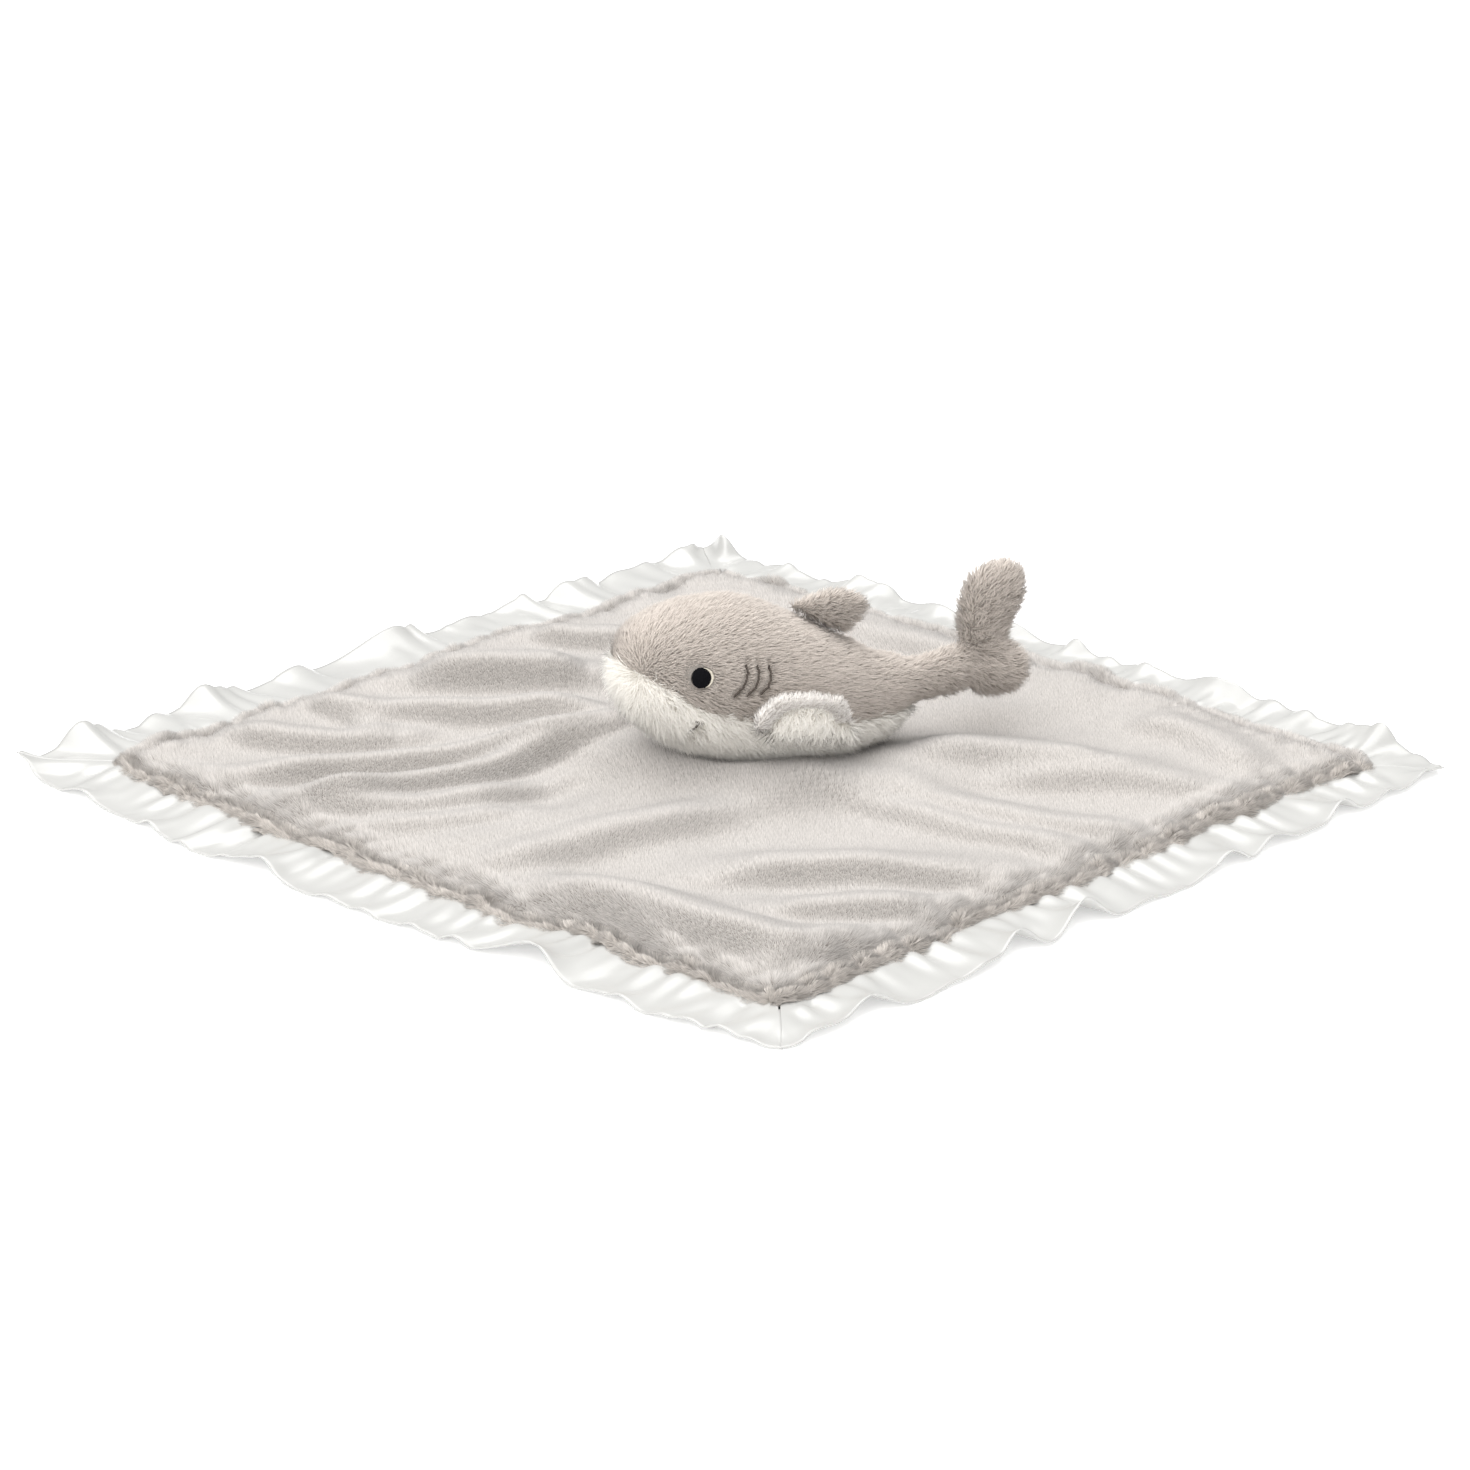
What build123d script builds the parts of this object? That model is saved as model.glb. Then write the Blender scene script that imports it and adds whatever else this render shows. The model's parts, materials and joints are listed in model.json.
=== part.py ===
from build123d import *
import os
from math import cos, radians, sin

# Comfort blanket with a plush shark sewn to its middle. Millimetres, +Z up.
# The origin is the bottom centre of the blanket, which lies flat. X runs along its longer side.
# The shark is modelled in its own frame, nose towards +X, left side towards +Y, then placed.

# ---------------------------------------------------------------- driving dimensions
PANEL_LENGTH = 392.0  # plush panel along X
PANEL_WIDTH = 370.0  # plush panel along Y
PANEL_THICK = 4.0  # one plush panel, pile included
RUFFLE_WIDTH = 26.0  # satin that shows outside the plush edge
RUFFLE_THICK = 0.8  # the folded satin
SEAM_ALLOWANCE = 8.0  # satin caught between the two plush panels
HEM_HEIGHT = 0.3  # underside of the hem above the table
TOPSTITCH_INSET = 7.0  # stitch line in from the plush edge
THREAD = 0.6

BLANKET_TOP = 2 * PANEL_THICK

SHARK_X = 21.7  # where the shark's own origin stands on the blanket
SHARK_Y = 10.4
SHARK_HEADING = 243.1  # degrees from +X to the nose
CLOTH = 2.0  # thickness of the shark's plush cloth
PECTORAL_CLOTH = 1.4  # and of the thinner side fins' cloth
BODY_FILL = 1.5  # the stuffing ends where less than this is left of its half width
FIN_FILL = 0.4  # and the wadding of a fin where less than this is left of its half thickness
GROOVE = 0.55  # radius of the thick embroidery thread

ANCHOR_X = -5.0  # the sewn spot under the belly, in the shark's frame
ANCHOR_RADIUS = 7.0
ANCHOR_THICK = 0.4
ANCHOR_GAP = 0.2  # between the patch and the blanket
ANCHOR_BARS = 4  # short stitches around the patch
ANCHOR_BAR_LENGTH = 4.0
ANCHOR_BAR_REACH = 0.55  # their distance from its centre, in radii

EYE_RADIUS = 4.25
EYE_RIM_RADIUS = 4.7
EYE_RIM_SHIFT = 0.9  # the pale rim is set back from the black disc
EYE_SUNK = 1.0
EYE_PROUD = 0.6

# Cross-sections from nose to rump: distance forward, lowest point, highest point, half width.
BODY_SECTIONS = [
    (80.3, 55.5, 58.5, 1.5),
    (79.4, 50.0, 63.4, 6.5),
    (77.5, 44.6, 69.2, 11.8),
    (74.0, 38.5, 74.4, 17.2),
    (69.0, 33.4, 78.2, 21.6),
    (63.0, 28.2, 80.6, 25.2),
    (56.0, 23.4, 82.4, 28.2),
    (47.0, 19.0, 84.0, 31.0),
    (36.0, 15.4, 84.8, 32.6),
    (25.0, 12.5, 84.0, 33.2),
    (17.0, 11.3, 81.6, 33.2),
    (8.0, 10.2, 77.6, 32.8),
    (-4.0, 9.5, 71.4, 31.0),
    (-13.0, 9.8, 66.5, 28.2),
    (-22.0, 10.9, 61.3, 24.4),
    (-32.0, 13.0, 55.9, 19.6),
    (-43.0, 17.2, 52.0, 15.2),
    (-49.5, 22.4, 50.2, 12.2),
    (-52.5, 26.0, 47.2, 9.4),
    (-54.1, 31.0, 43.2, 5.4),
    (-54.7, 36.0, 38.8, 1.3),
]
STOCK_SECTIONS = [
    (-56.3, 37.0, 39.6, 1.2),
    (-56.9, 32.6, 44.0, 5.0),
    (-58.4, 28.4, 48.8, 8.6),
    (-61.5, 26.2, 51.0, 9.9),
    (-68.0, 28.4, 51.0, 8.8),
    (-73.0, 29.2, 50.4, 8.0),
    (-76.2, 31.4, 48.2, 6.2),
    (-77.7, 35.4, 45.2, 3.8),
    (-78.2, 39.2, 41.4, 1.2),
]
LOWER_LOBE_SECTIONS = [
    (-79.6, 38.6, 41.2, 1.2),
    (-80.4, 34.0, 45.8, 4.2),
    (-82.6, 30.6, 49.0, 6.2),
    (-86.0, 29.2, 50.2, 7.2),
    (-92.0, 28.4, 50.2, 7.4),
    (-97.5, 28.9, 48.9, 6.9),
    (-101.5, 31.0, 46.2, 5.4),
    (-104.0, 34.2, 43.0, 3.2),
    (-104.8, 37.4, 39.8, 1.1),
]
# Fin sections: distance from the root, front edge, rear edge, half thickness.
UPPER_LOBE_SECTIONS = [
    (38.0, -82.0, -94.0, 6.0),
    (44.0, -80.4, -94.6, 6.4),
    (51.0, -77.2, -95.2, 6.7),
    (59.0, -74.6, -97.0, 6.9),
    (67.0, -75.0, -101.6, 7.0),
    (74.0, -77.0, -103.4, 6.6),
    (79.5, -80.4, -102.8, 5.4),
    (83.4, -85.6, -100.4, 3.3),
    (84.8, -91.6, -95.2, 0.9),
]
DORSAL_SECTIONS = [
    (0.0, 1.0, 27.6, 1.4),
    (1.2, 1.0, 28.4, 3.3),
    (4.2, 3.4, 28.9, 4.5),
    (9.0, 7.4, 29.5, 4.6),
    (13.6, 12.0, 29.0, 3.8),
    (16.2, 16.6, 27.6, 2.3),
    (17.2, 20.8, 24.0, 0.8),
]
PECTORAL_SECTIONS = [
    (0.0, -22.6, 21.6, 1.2),
    (1.1, -23.4, 22.6, 2.8),
    (4.0, -23.4, 23.0, 3.7),
    (9.0, -21.8, 21.6, 3.8),
    (13.6, -18.4, 17.6, 3.2),
    (16.6, -13.2, 11.6, 2.0),
    (17.8, -5.0, 3.0, 0.8),
]
# Height of the seam between the grey upper cloth and the white belly, along the body.
BELLY_SEAM = [
    (90.0, 62.5),
    (76.0, 60.5),
    (63.0, 54.0),
    (55.0, 48.0),
    (42.0, 42.5),
    (20.0, 36.0),
    (-5.0, 32.2),
    (-30.0, 29.2),
    (-50.0, 28.2),
    (-62.0, 27.4),
    (-74.0, 22.0),
]
DORSAL_FRONT = (1.2, 74.9)  # ends of the dorsal fin's root, forward and up
DORSAL_REAR = (-24.0, 60.6)
DORSAL_LEAN = 18.0  # degrees towards the left side
PECTORAL_ROOT = (9.5, 37.0, 33.4)  # middle of the left fin's root
PECTORAL_TOE = -11.0  # degrees: the root follows the narrowing flank
PECTORAL_PITCH = 11.0  # degrees: the root drops towards the tail
PECTORAL_LEAN = 9.0  # degrees out from upright
FIN_GAP = 0.7  # between the dorsal fin's root and the back

EYE = (49.6, 59.2)  # forward and up
GILLS = [  # top and bottom of each arc
    ((30.4, 63.4), (36.3, 50.3)),
    ((25.6, 62.6), (30.7, 50.2)),
    ((20.6, 61.3), (24.9, 50.4)),
]
GILL_BULGE = 1.3  # each arc bows back by this much
MOUTH = ((53.6, 33.4), (49.9, 39.3))  # lower end and corner of the smile
MOUTH_BULGE = 0.5
MOUTH_TICK = 1.6  # half length of the short stitch across the corner
MOUTH_TICK_SLOPE = 0.4
MOUTH_TICK_BULGE = 0.1
ALL = 500.0  # longer than anything on the shark, for the solids that cut it

os.makedirs("parts", exist_ok=True)
SHARK = Location((SHARK_X, SHARK_Y, 0), (0, 0, SHARK_HEADING))


def save(name, shape, place=None):
    """Writes one piece, or a group of them, moved to its place if it was made in the shark's frame."""
    solids = [place * solid if place else solid for solid in shape.solids()]
    export_step(Compound(children=solids) if len(solids) > 1 else solids[0], f"parts/{name}.step")


# ---------------------------------------------------------------- shapes shared by several pieces
def section(forward, low, high, half_width, inset):
    """An upright elliptical section across the body."""
    centre = Plane(
        origin=(forward, 0, (low + high) / 2), x_dir=(0, 1, 0), z_dir=(1, 0, 0)
    )
    return centre * Ellipse(half_width - inset, (high - low) / 2 - inset)


def lengthwise(sections, inset=0.0):
    """A smooth solid through upright sections, from the front to the rear. An inset one is its filling."""
    front, rear = sections[0][0], sections[-1][0]
    kept = []
    for forward, low, high, half_width in sections:
        middle = forward < front - inset and forward > rear + inset
        if inset == 0 or (middle and half_width > inset + BODY_FILL):
            kept.append(section(forward, low, high, half_width, inset))
    return loft(kept)


def fin(sections, inset=0.0):
    """A padded fin that grows along +Z, with its chord along X."""
    root, tip = sections[0][0], sections[-1][0]
    kept = []
    for height, front, rear, half_thick in sections:
        middle = root + inset < height < tip - inset
        if inset == 0 or (middle and half_thick > inset + FIN_FILL):
            centre = Plane(origin=((front + rear) / 2, 0, height))
            kept.append(centre * Ellipse(abs(front - rear) / 2 - inset, half_thick - inset))
    return loft(kept)


def half_space(side):
    """Everything on one side of the middle plane: side is +1 for left and -1 for right."""
    return Pos(0, side * ALL / 2, 0) * Box(ALL, ALL, ALL)


def mirrored(shape):
    """The same piece on the shark's right side."""
    return mirror(shape, about=Plane.XZ)


# ---------------------------------------------------------------- blanket
def plush_panel():
    return Box(
        PANEL_LENGTH, PANEL_WIDTH, PANEL_THICK, align=(Align.CENTER, Align.CENTER, Align.MIN)
    )


def ruffle(side_length, edge):
    """One satin strip along the -Y side, with mitred ends. Its inner edge lies between the panels."""
    outer, inner = edge + RUFFLE_WIDTH, edge - SEAM_ALLOWANCE
    profile = Polyline(
        (-inner, PANEL_THICK),
        (-edge, PANEL_THICK),
        (-outer, HEM_HEIGHT),
        (-outer, HEM_HEIGHT + RUFFLE_THICK),
        (-edge, PANEL_THICK + RUFFLE_THICK),
        (-inner, PANEL_THICK + RUFFLE_THICK),
        close=True,
    )
    strip = extrude(Plane.YZ * make_face(profile), side_length, both=True)
    half_outer = side_length / 2 + RUFFLE_WIDTH
    half_inner = side_length / 2 - SEAM_ALLOWANCE
    mitres = Polyline(
        (-half_outer, -outer),
        (half_outer, -outer),
        (half_inner, -inner),
        (-half_inner, -inner),
        close=True,
    )
    return strip & extrude(make_face(mitres), 2 * BLANKET_TOP)


def topstitch():
    """Four straight runs of thread on the top panel, one along each side."""
    gap = 2 * THREAD
    runs = []
    for side in (-1, 1):
        y = side * (PANEL_WIDTH / 2 - TOPSTITCH_INSET)
        x = side * (PANEL_LENGTH / 2 - TOPSTITCH_INSET)
        long_run = Box(2 * abs(x) - gap, THREAD, THREAD)
        short_run = Box(THREAD, 2 * abs(y) - 2 * gap, THREAD)
        runs.append(Pos(0, y, BLANKET_TOP + THREAD / 2) * long_run)
        runs.append(Pos(x, 0, BLANKET_TOP + THREAD / 2) * short_run)
    return Part() + runs


half_x, half_y = PANEL_LENGTH / 2, PANEL_WIDTH / 2
ruffle_front = ruffle(PANEL_LENGTH, half_y)
ruffle_right = Rot(0, 0, 90) * ruffle(PANEL_WIDTH, half_x)
rebate = Pos(0, 0, PANEL_THICK) * (
    Box(PANEL_LENGTH, PANEL_WIDTH, RUFFLE_THICK, align=(Align.CENTER, Align.CENTER, Align.MIN))
    - Box(
        PANEL_LENGTH - 2 * SEAM_ALLOWANCE,
        PANEL_WIDTH - 2 * SEAM_ALLOWANCE,
        RUFFLE_THICK,
        align=(Align.CENTER, Align.CENTER, Align.MIN),
    )
)
save("blanket_back_panel", plush_panel())
save("blanket_top_panel", Pos(0, 0, PANEL_THICK) * plush_panel() - rebate)
save("satin_ruffle_front", ruffle_front)
save("satin_ruffle_back", Rot(0, 0, 180) * ruffle_front)
save("satin_ruffle_right", ruffle_right)
save("satin_ruffle_left", Rot(0, 0, 180) * ruffle_right)
save("blanket_topstitch", topstitch())

# ---------------------------------------------------------------- sewn spot under the belly
patch = Pos(ANCHOR_X, 0, BLANKET_TOP + ANCHOR_GAP) * Cylinder(
    ANCHOR_RADIUS, ANCHOR_THICK, align=(Align.CENTER, Align.CENTER, Align.MIN)
)
bars = []
for step in range(ANCHOR_BARS):
    around = (step + 0.5) * 360 / ANCHOR_BARS
    reach = ANCHOR_BAR_REACH * ANCHOR_RADIUS
    spot = Pos(ANCHOR_X + reach * cos(radians(around)), reach * sin(radians(around)), 0)
    bar = Box(
        ANCHOR_BAR_LENGTH, THREAD, ANCHOR_THICK, align=(Align.CENTER, Align.CENTER, Align.MIN)
    )
    bars.append(spot * Pos(0, 0, BLANKET_TOP + ANCHOR_GAP) * Rot(0, 0, around + 90) * bar)
for bar in bars:
    patch -= bar
save("anchor_patch", patch, SHARK)
save("anchor_stitches", Part() + bars, SHARK)

# ---------------------------------------------------------------- shark's body
body = lengthwise(BODY_SECTIONS)
stuffing = lengthwise(BODY_SECTIONS, CLOTH)
seam_line = Spline([(forward, height) for forward, height in BELLY_SEAM])
below_seam = make_face(
    [
        seam_line,
        Polyline(BELLY_SEAM[-1], (BELLY_SEAM[-1][0], -ALL), (BELLY_SEAM[0][0], -ALL), BELLY_SEAM[0]),
    ]
)
below = extrude(Plane.XZ * below_seam, ALL, both=True)
skin = body - stuffing
belly_panel = skin & below
upper_skin = skin - below


def skin_point(forward, height):
    """Where the level line across the body at this place comes out of the left side, and its normal."""
    hits = body.find_intersection_points(Axis((forward, 0, height), (0, 1, 0)))
    return max(hits, key=lambda hit: hit[0].Y)


def embroidered_eye():
    """The black disc and the pale crescent behind it, both set into the cloth."""
    spot, out = skin_point(*EYE)
    face = Plane(origin=spot, x_dir=Vector(1, 0, 0) - out * out.X, z_dir=out)
    depth = EYE_SUNK + EYE_PROUD
    base = Location(face) * Pos(0, 0, -EYE_SUNK)
    disc = Cylinder(EYE_RADIUS, depth, align=(Align.CENTER, Align.CENTER, Align.MIN))
    rim = Cylinder(EYE_RIM_RADIUS, depth, align=(Align.CENTER, Align.CENTER, Align.MIN))
    crescent = Pos(-EYE_RIM_SHIFT, 0, 0) * rim - disc
    return base * disc, base * crescent


def stitched_arc(start, end, bulge):
    """A thick thread that follows the skin between two places, bowed back by the bulge."""
    middle = ((start[0] + end[0]) / 2 - bulge, (start[1] + end[1]) / 2)
    first, mid, last = (skin_point(*place)[0] for place in (start, middle, end))
    path = ThreePointArc(first, mid, last)
    return sweep(Plane(origin=path @ 0, z_dir=path % 0) * Circle(GROOVE), path=path)


eye, eye_rim = embroidered_eye()
gills = [stitched_arc(top, bottom, GILL_BULGE) for top, bottom in GILLS]
smile = stitched_arc(*MOUTH, MOUTH_BULGE)
corner_forward, corner_up = MOUTH[1]
tick_rise = MOUTH_TICK * MOUTH_TICK_SLOPE
tick_rear = (corner_forward - MOUTH_TICK, corner_up - tick_rise)
tick_front = (corner_forward + MOUTH_TICK, corner_up + tick_rise)
smile += stitched_arc(tick_rear, tick_front, MOUTH_TICK_BULGE)

left_panel = upper_skin & half_space(1)
for piece in (eye, eye_rim, *gills):
    left_panel -= piece
right_panel = mirrored(left_panel)
belly_panel = belly_panel - smile - mirrored(smile)

save("body_stuffing", stuffing, SHARK)
save("body_panel_left", left_panel, SHARK)
save("body_panel_right", right_panel, SHARK)
save("belly_panel", belly_panel, SHARK)
save("eye_left", eye, SHARK)
save("eye_right", mirrored(eye), SHARK)
save("eye_rim_left", eye_rim, SHARK)
save("eye_rim_right", mirrored(eye_rim), SHARK)
save("gill_stitches_left", Part() + gills, SHARK)
save("gill_stitches_right", mirrored(Part() + gills), SHARK)
save("mouth_stitch_left", smile, SHARK)
save("mouth_stitch_right", mirrored(smile), SHARK)

# ---------------------------------------------------------------- tail stock and tail fin
stock = lengthwise(STOCK_SECTIONS)
stock_filling = lengthwise(STOCK_SECTIONS, CLOTH)
stock_skin = stock - stock_filling
save("tail_stuffing", stock_filling, SHARK)
save("tail_panel_left", stock_skin & half_space(1), SHARK)
save("tail_panel_right", stock_skin & half_space(-1), SHARK)

tail_fin = lengthwise(LOWER_LOBE_SECTIONS) + fin(UPPER_LOBE_SECTIONS)
tail_wadding = lengthwise(LOWER_LOBE_SECTIONS, CLOTH) + fin(UPPER_LOBE_SECTIONS, CLOTH)
tail_skin = tail_fin - tail_wadding
save("tail_fin_wadding", tail_wadding, SHARK)
save("tail_fin_panel_left", tail_skin & half_space(1), SHARK)
save("tail_fin_panel_right", tail_skin & half_space(-1), SHARK)

# ---------------------------------------------------------------- dorsal fin
front, rear = Vector(DORSAL_FRONT[0], 0, DORSAL_FRONT[1]), Vector(DORSAL_REAR[0], 0, DORSAL_REAR[1])
root_line = (rear - front).normalized()
upright = root_line.cross(Vector(0, 1, 0)) * -1
if upright.Z < 0:
    upright *= -1
seat = Location(Plane(origin=front + upright * FIN_GAP, x_dir=root_line, z_dir=upright))
hinge_height = DORSAL_SECTIONS[2][3]  # the fin turns about a line one half thickness above its root
lean = Pos(0, 0, hinge_height) * Rot(DORSAL_LEAN, 0, 0) * Pos(0, 0, -hinge_height)
dorsal_place = seat * lean
dorsal = fin(DORSAL_SECTIONS)
dorsal_wadding = fin(DORSAL_SECTIONS, CLOTH)
dorsal_skin = dorsal - dorsal_wadding
# The seat turns the fin's own +Y to the shark's right side.
save("dorsal_fin_wadding", dorsal_place * dorsal_wadding, SHARK)
save("dorsal_fin_panel_left", dorsal_place * (dorsal_skin & half_space(-1)), SHARK)
save("dorsal_fin_panel_right", dorsal_place * (dorsal_skin & half_space(1)), SHARK)

# ---------------------------------------------------------------- pectoral fins, folded up
pectoral = fin(PECTORAL_SECTIONS)
pectoral_wadding = fin(PECTORAL_SECTIONS, PECTORAL_CLOTH)
pectoral_skin = pectoral - pectoral_wadding
pectoral_place = (
    Location(PECTORAL_ROOT)
    * Rot(0, 0, -PECTORAL_TOE)
    * Rot(0, -PECTORAL_PITCH, 0)
    * Rot(-PECTORAL_LEAN, 0, 0)
)
fin_pieces = {
    "wadding": pectoral_wadding,
    "under_panel": pectoral_skin & half_space(1),
    "upper_panel": pectoral_skin & half_space(-1),
}
for name, piece in fin_pieces.items():
    placed = pectoral_place * piece
    save(f"pectoral_fin_left_{name}", placed, SHARK)
    save(f"pectoral_fin_right_{name}", mirrored(placed), SHARK)
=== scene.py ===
import json
import math

import bmesh
import bpy
import numpy as np
from mathutils import Matrix, Vector
from mathutils.bvhtree import BVHTree


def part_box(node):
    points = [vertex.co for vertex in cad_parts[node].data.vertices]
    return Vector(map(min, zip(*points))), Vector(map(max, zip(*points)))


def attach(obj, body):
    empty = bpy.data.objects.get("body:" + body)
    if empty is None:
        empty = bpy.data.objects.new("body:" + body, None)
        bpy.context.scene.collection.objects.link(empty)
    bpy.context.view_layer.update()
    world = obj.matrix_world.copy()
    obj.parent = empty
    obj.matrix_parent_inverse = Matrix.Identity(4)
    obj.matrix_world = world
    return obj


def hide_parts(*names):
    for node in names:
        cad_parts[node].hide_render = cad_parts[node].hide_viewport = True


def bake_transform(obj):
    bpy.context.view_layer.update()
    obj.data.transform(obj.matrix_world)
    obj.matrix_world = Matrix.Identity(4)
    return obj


# A comfort blanket with a gathered satin edge and a plush shark sewn to its middle.
# Lengths here are in millimetres in the row frame, and become metres when a mesh is made.
# Each soft CAD solid is replaced by a cloth skin that lies one pile height below the solid's surface,
# and by hairs that stand on that skin and end near the solid's surface.

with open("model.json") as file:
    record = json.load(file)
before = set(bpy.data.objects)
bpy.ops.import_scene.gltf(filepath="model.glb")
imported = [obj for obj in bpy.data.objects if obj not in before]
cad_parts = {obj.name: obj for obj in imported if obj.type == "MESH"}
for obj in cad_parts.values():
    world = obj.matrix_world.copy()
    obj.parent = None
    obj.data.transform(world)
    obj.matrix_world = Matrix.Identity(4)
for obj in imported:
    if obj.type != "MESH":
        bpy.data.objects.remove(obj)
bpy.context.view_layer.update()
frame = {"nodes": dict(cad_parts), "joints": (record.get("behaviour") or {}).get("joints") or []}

# ---------------------------- driving values
MM = 0.001
SEED = 11
UV_NAME = "OFBake"

CAMERA_AZIMUTH = 44.04  # degrees
CAMERA_ELEVATION = 19.77
CAMERA_DISTANCE = 1970.8
CAMERA_TARGET = (-32.0, 31.8, 0.0)
CAMERA_LENS = 111.4

HAIR_SOFTNESS = 0.9  # how far a hair is shaded like the surface that it stands on
MOST_FACES = 190000  # in one piece of hairs
BLANKET_PILE = 1.9  # height of the pile above its cloth
BLANKET_HAIR = 2.3  # length of one hair
HEM_HAIR = 4.3  # length of the looser hairs along the hem
BLANKET_HAIR_WIDTH = 0.5
BLANKET_HAIRS_PER_CM2 = 440
PILE_LEAN = 17  # degrees
PILE_DIRECTION = np.array([-0.69, 0.72, 0.0])  # the way the pile lies
FOLD_SHADE = 2.3  # slopes are shaded this much steeper than they stand
SHADE_STEP = 2.4  # and smoothed over about twice this width
EDGE_PILE = 3.0  # the cloth stops this far inside the CAD panel's edge
CLOTH_STEP = 3.0
HEM_INSET = 6.8  # the sewn line that holds the hem, in from the cloth's edge

SKIN_STEP = 1.5  # voxel size of the shark's skin
FIN_STEP = 1.0  # and of its dorsal and side fins' skin
CLOSING = 1.2  # half of the widest gap between panels that the skin closes over
FUR_HAIR_WIDTH = 0.3
FUR_PER_CM2 = 330
FIN_DENSER = 1.1  # the fur of the dorsal and side fins is this many times denser
# Lengths of the hairs, before they are trimmed.
GREY_FUR = 4.6
WHITE_FUR = 7.6
TAIL_FUR = 5.6
FIN_WHITE_FUR = 8.5
FIN_RIM_FUR = 4.0

EYE_RADIUS = 4.25
# Radii of the threads.
EYE_THREAD = 0.36
CRESCENT_THREAD = 0.24
GILL_THREAD = 0.46
SMILE_THREAD = 0.5
HEM_THREAD = 0.3

STITCH_LENGTH = 2.6  # in points of a line; each embroidery stitch also overlaps the next one
NOSE_SEAM = (73.0, 17.0, 59.0)  # where the grey fur starts on each side of the snout, in the shark's frame
GILLS = [((30.4, 63.4), (36.3, 50.3)), ((25.6, 62.6), (30.7, 50.2)), ((20.6, 61.3), (24.9, 50.4))]
GILL_BULGE = 2.2
MOUTH = ((53.6, 33.4), (49.9, 39.3))
MOUTH_BULGE = 0.5
MOUTH_TICK = ((48.3, 38.7), (51.5, 39.9))
TAIL_CUT = -66.0  # where the body's skin is parted from the tail's, between the two tail joints
BELLY_END = -60.0  # where the white cloth ends

rng = np.random.default_rng(SEED)
azimuth, elevation = math.radians(CAMERA_AZIMUTH), math.radians(CAMERA_ELEVATION)
UP = np.array([0.0, 0.0, 1.0])
TOWARDS_CAMERA = np.array([math.sin(azimuth), -math.cos(azimuth), 0.0])
joints = {joint["name"]: joint for joint in frame["joints"]}


# ---------------------------- small tools
def unit(vectors):
    """Each vector, made 1 long."""
    return vectors / np.maximum(np.linalg.norm(vectors, axis=-1, keepdims=True), 1e-9)


def dot(a, b):
    """Row by row, as a column."""
    return (a * b).sum(-1, keepdims=True)


def smooth(t):
    """From 0 to 1 as t goes from 0 to 1, level at both ends and beyond them."""
    t = np.clip(t, 0.0, 1.0)
    return t * t * (3.0 - 2.0 * t)


def eased(at, pairs):
    """The value at each place, with a level tangent at every given (place, value) pair."""
    places, values = (np.array(column, float) for column in zip(*pairs))
    i = np.clip(np.searchsorted(places, at) - 1, 0, len(places) - 2)
    return values[i] + (values[i + 1] - values[i]) * smooth((at - places[i]) / (places[i + 1] - places[i]))


def through(points, steps=12):
    """A smooth line through the given points."""
    p = np.array([points[0], *points, points[-1]], float)
    t = np.linspace(0, 1, steps, endpoint=False)[:, None]
    spans = []
    for a, b, c, d in zip(p, p[1:], p[2:], p[3:]):
        square, cube = 2 * a - 5 * b + 4 * c - d, 3 * b - a - 3 * c + d
        spans.append(0.5 * (2 * b + (c - a) * t + square * t**2 + cube * t**3))
    return np.vstack([*spans, p[-1:]])


class Waves:
    """A smooth random field in space, of about the given size in mm, with a spread of about 1."""

    def __init__(self, size, count=9):
        directions = unit(rng.normal(size=(count, 3)))
        self.turns = directions * 2 * math.pi / size * rng.uniform(0.7, 1.5, (count, 1))
        self.phase = rng.uniform(0, 2 * math.pi, count)
        self.gain = math.sqrt(2 / count)

    def __call__(self, points):
        return np.sin(points @ self.turns.T + self.phase).sum(-1) * self.gain


def mesh_object(name, points, faces, material, uv=None, shade=None):
    """A smooth-shaded mesh from points in mm and equal-sided faces. uv holds one pair per point, and shade
    one normal."""
    faces = np.asarray(faces, np.int32)
    count, corners = faces.shape
    mesh = bpy.data.meshes.new(name)
    mesh.vertices.add(len(points))
    mesh.vertices.foreach_set("co", (np.asarray(points) * MM).astype(np.float32).ravel())
    mesh.loops.add(count * corners)
    mesh.loops.foreach_set("vertex_index", faces.ravel())
    mesh.polygons.add(count)
    mesh.polygons.foreach_set("loop_start", np.arange(0, count * corners, corners, dtype=np.int32))
    mesh.polygons.foreach_set("use_smooth", np.ones(count, bool))
    mesh.update(calc_edges=True)
    if uv is not None:
        layer = mesh.uv_layers.new(name=UV_NAME)
        layer.data.foreach_set("uv", uv[faces.ravel()].astype(np.float32).ravel())
    if shade is not None:
        mesh.normals_split_custom_set_from_vertices(shade.astype(np.float32))
    mesh.materials.append(material)
    made = bpy.data.objects.new(name, mesh)
    bpy.context.scene.collection.objects.link(made)
    return made


def grid_faces(rows, columns, closed=False):
    """Four-sided faces of a grid of points that is stored row by row. A closed grid joins its last column to
    its first."""
    across = columns if closed else columns - 1
    r, c = np.meshgrid(np.arange(rows - 1), np.arange(across), indexing="ij")
    here, after = r * columns + c, r * columns + (c + 1) % columns
    return np.stack([here, after, after + columns, here + columns], -1).reshape(-1, 4)


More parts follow.
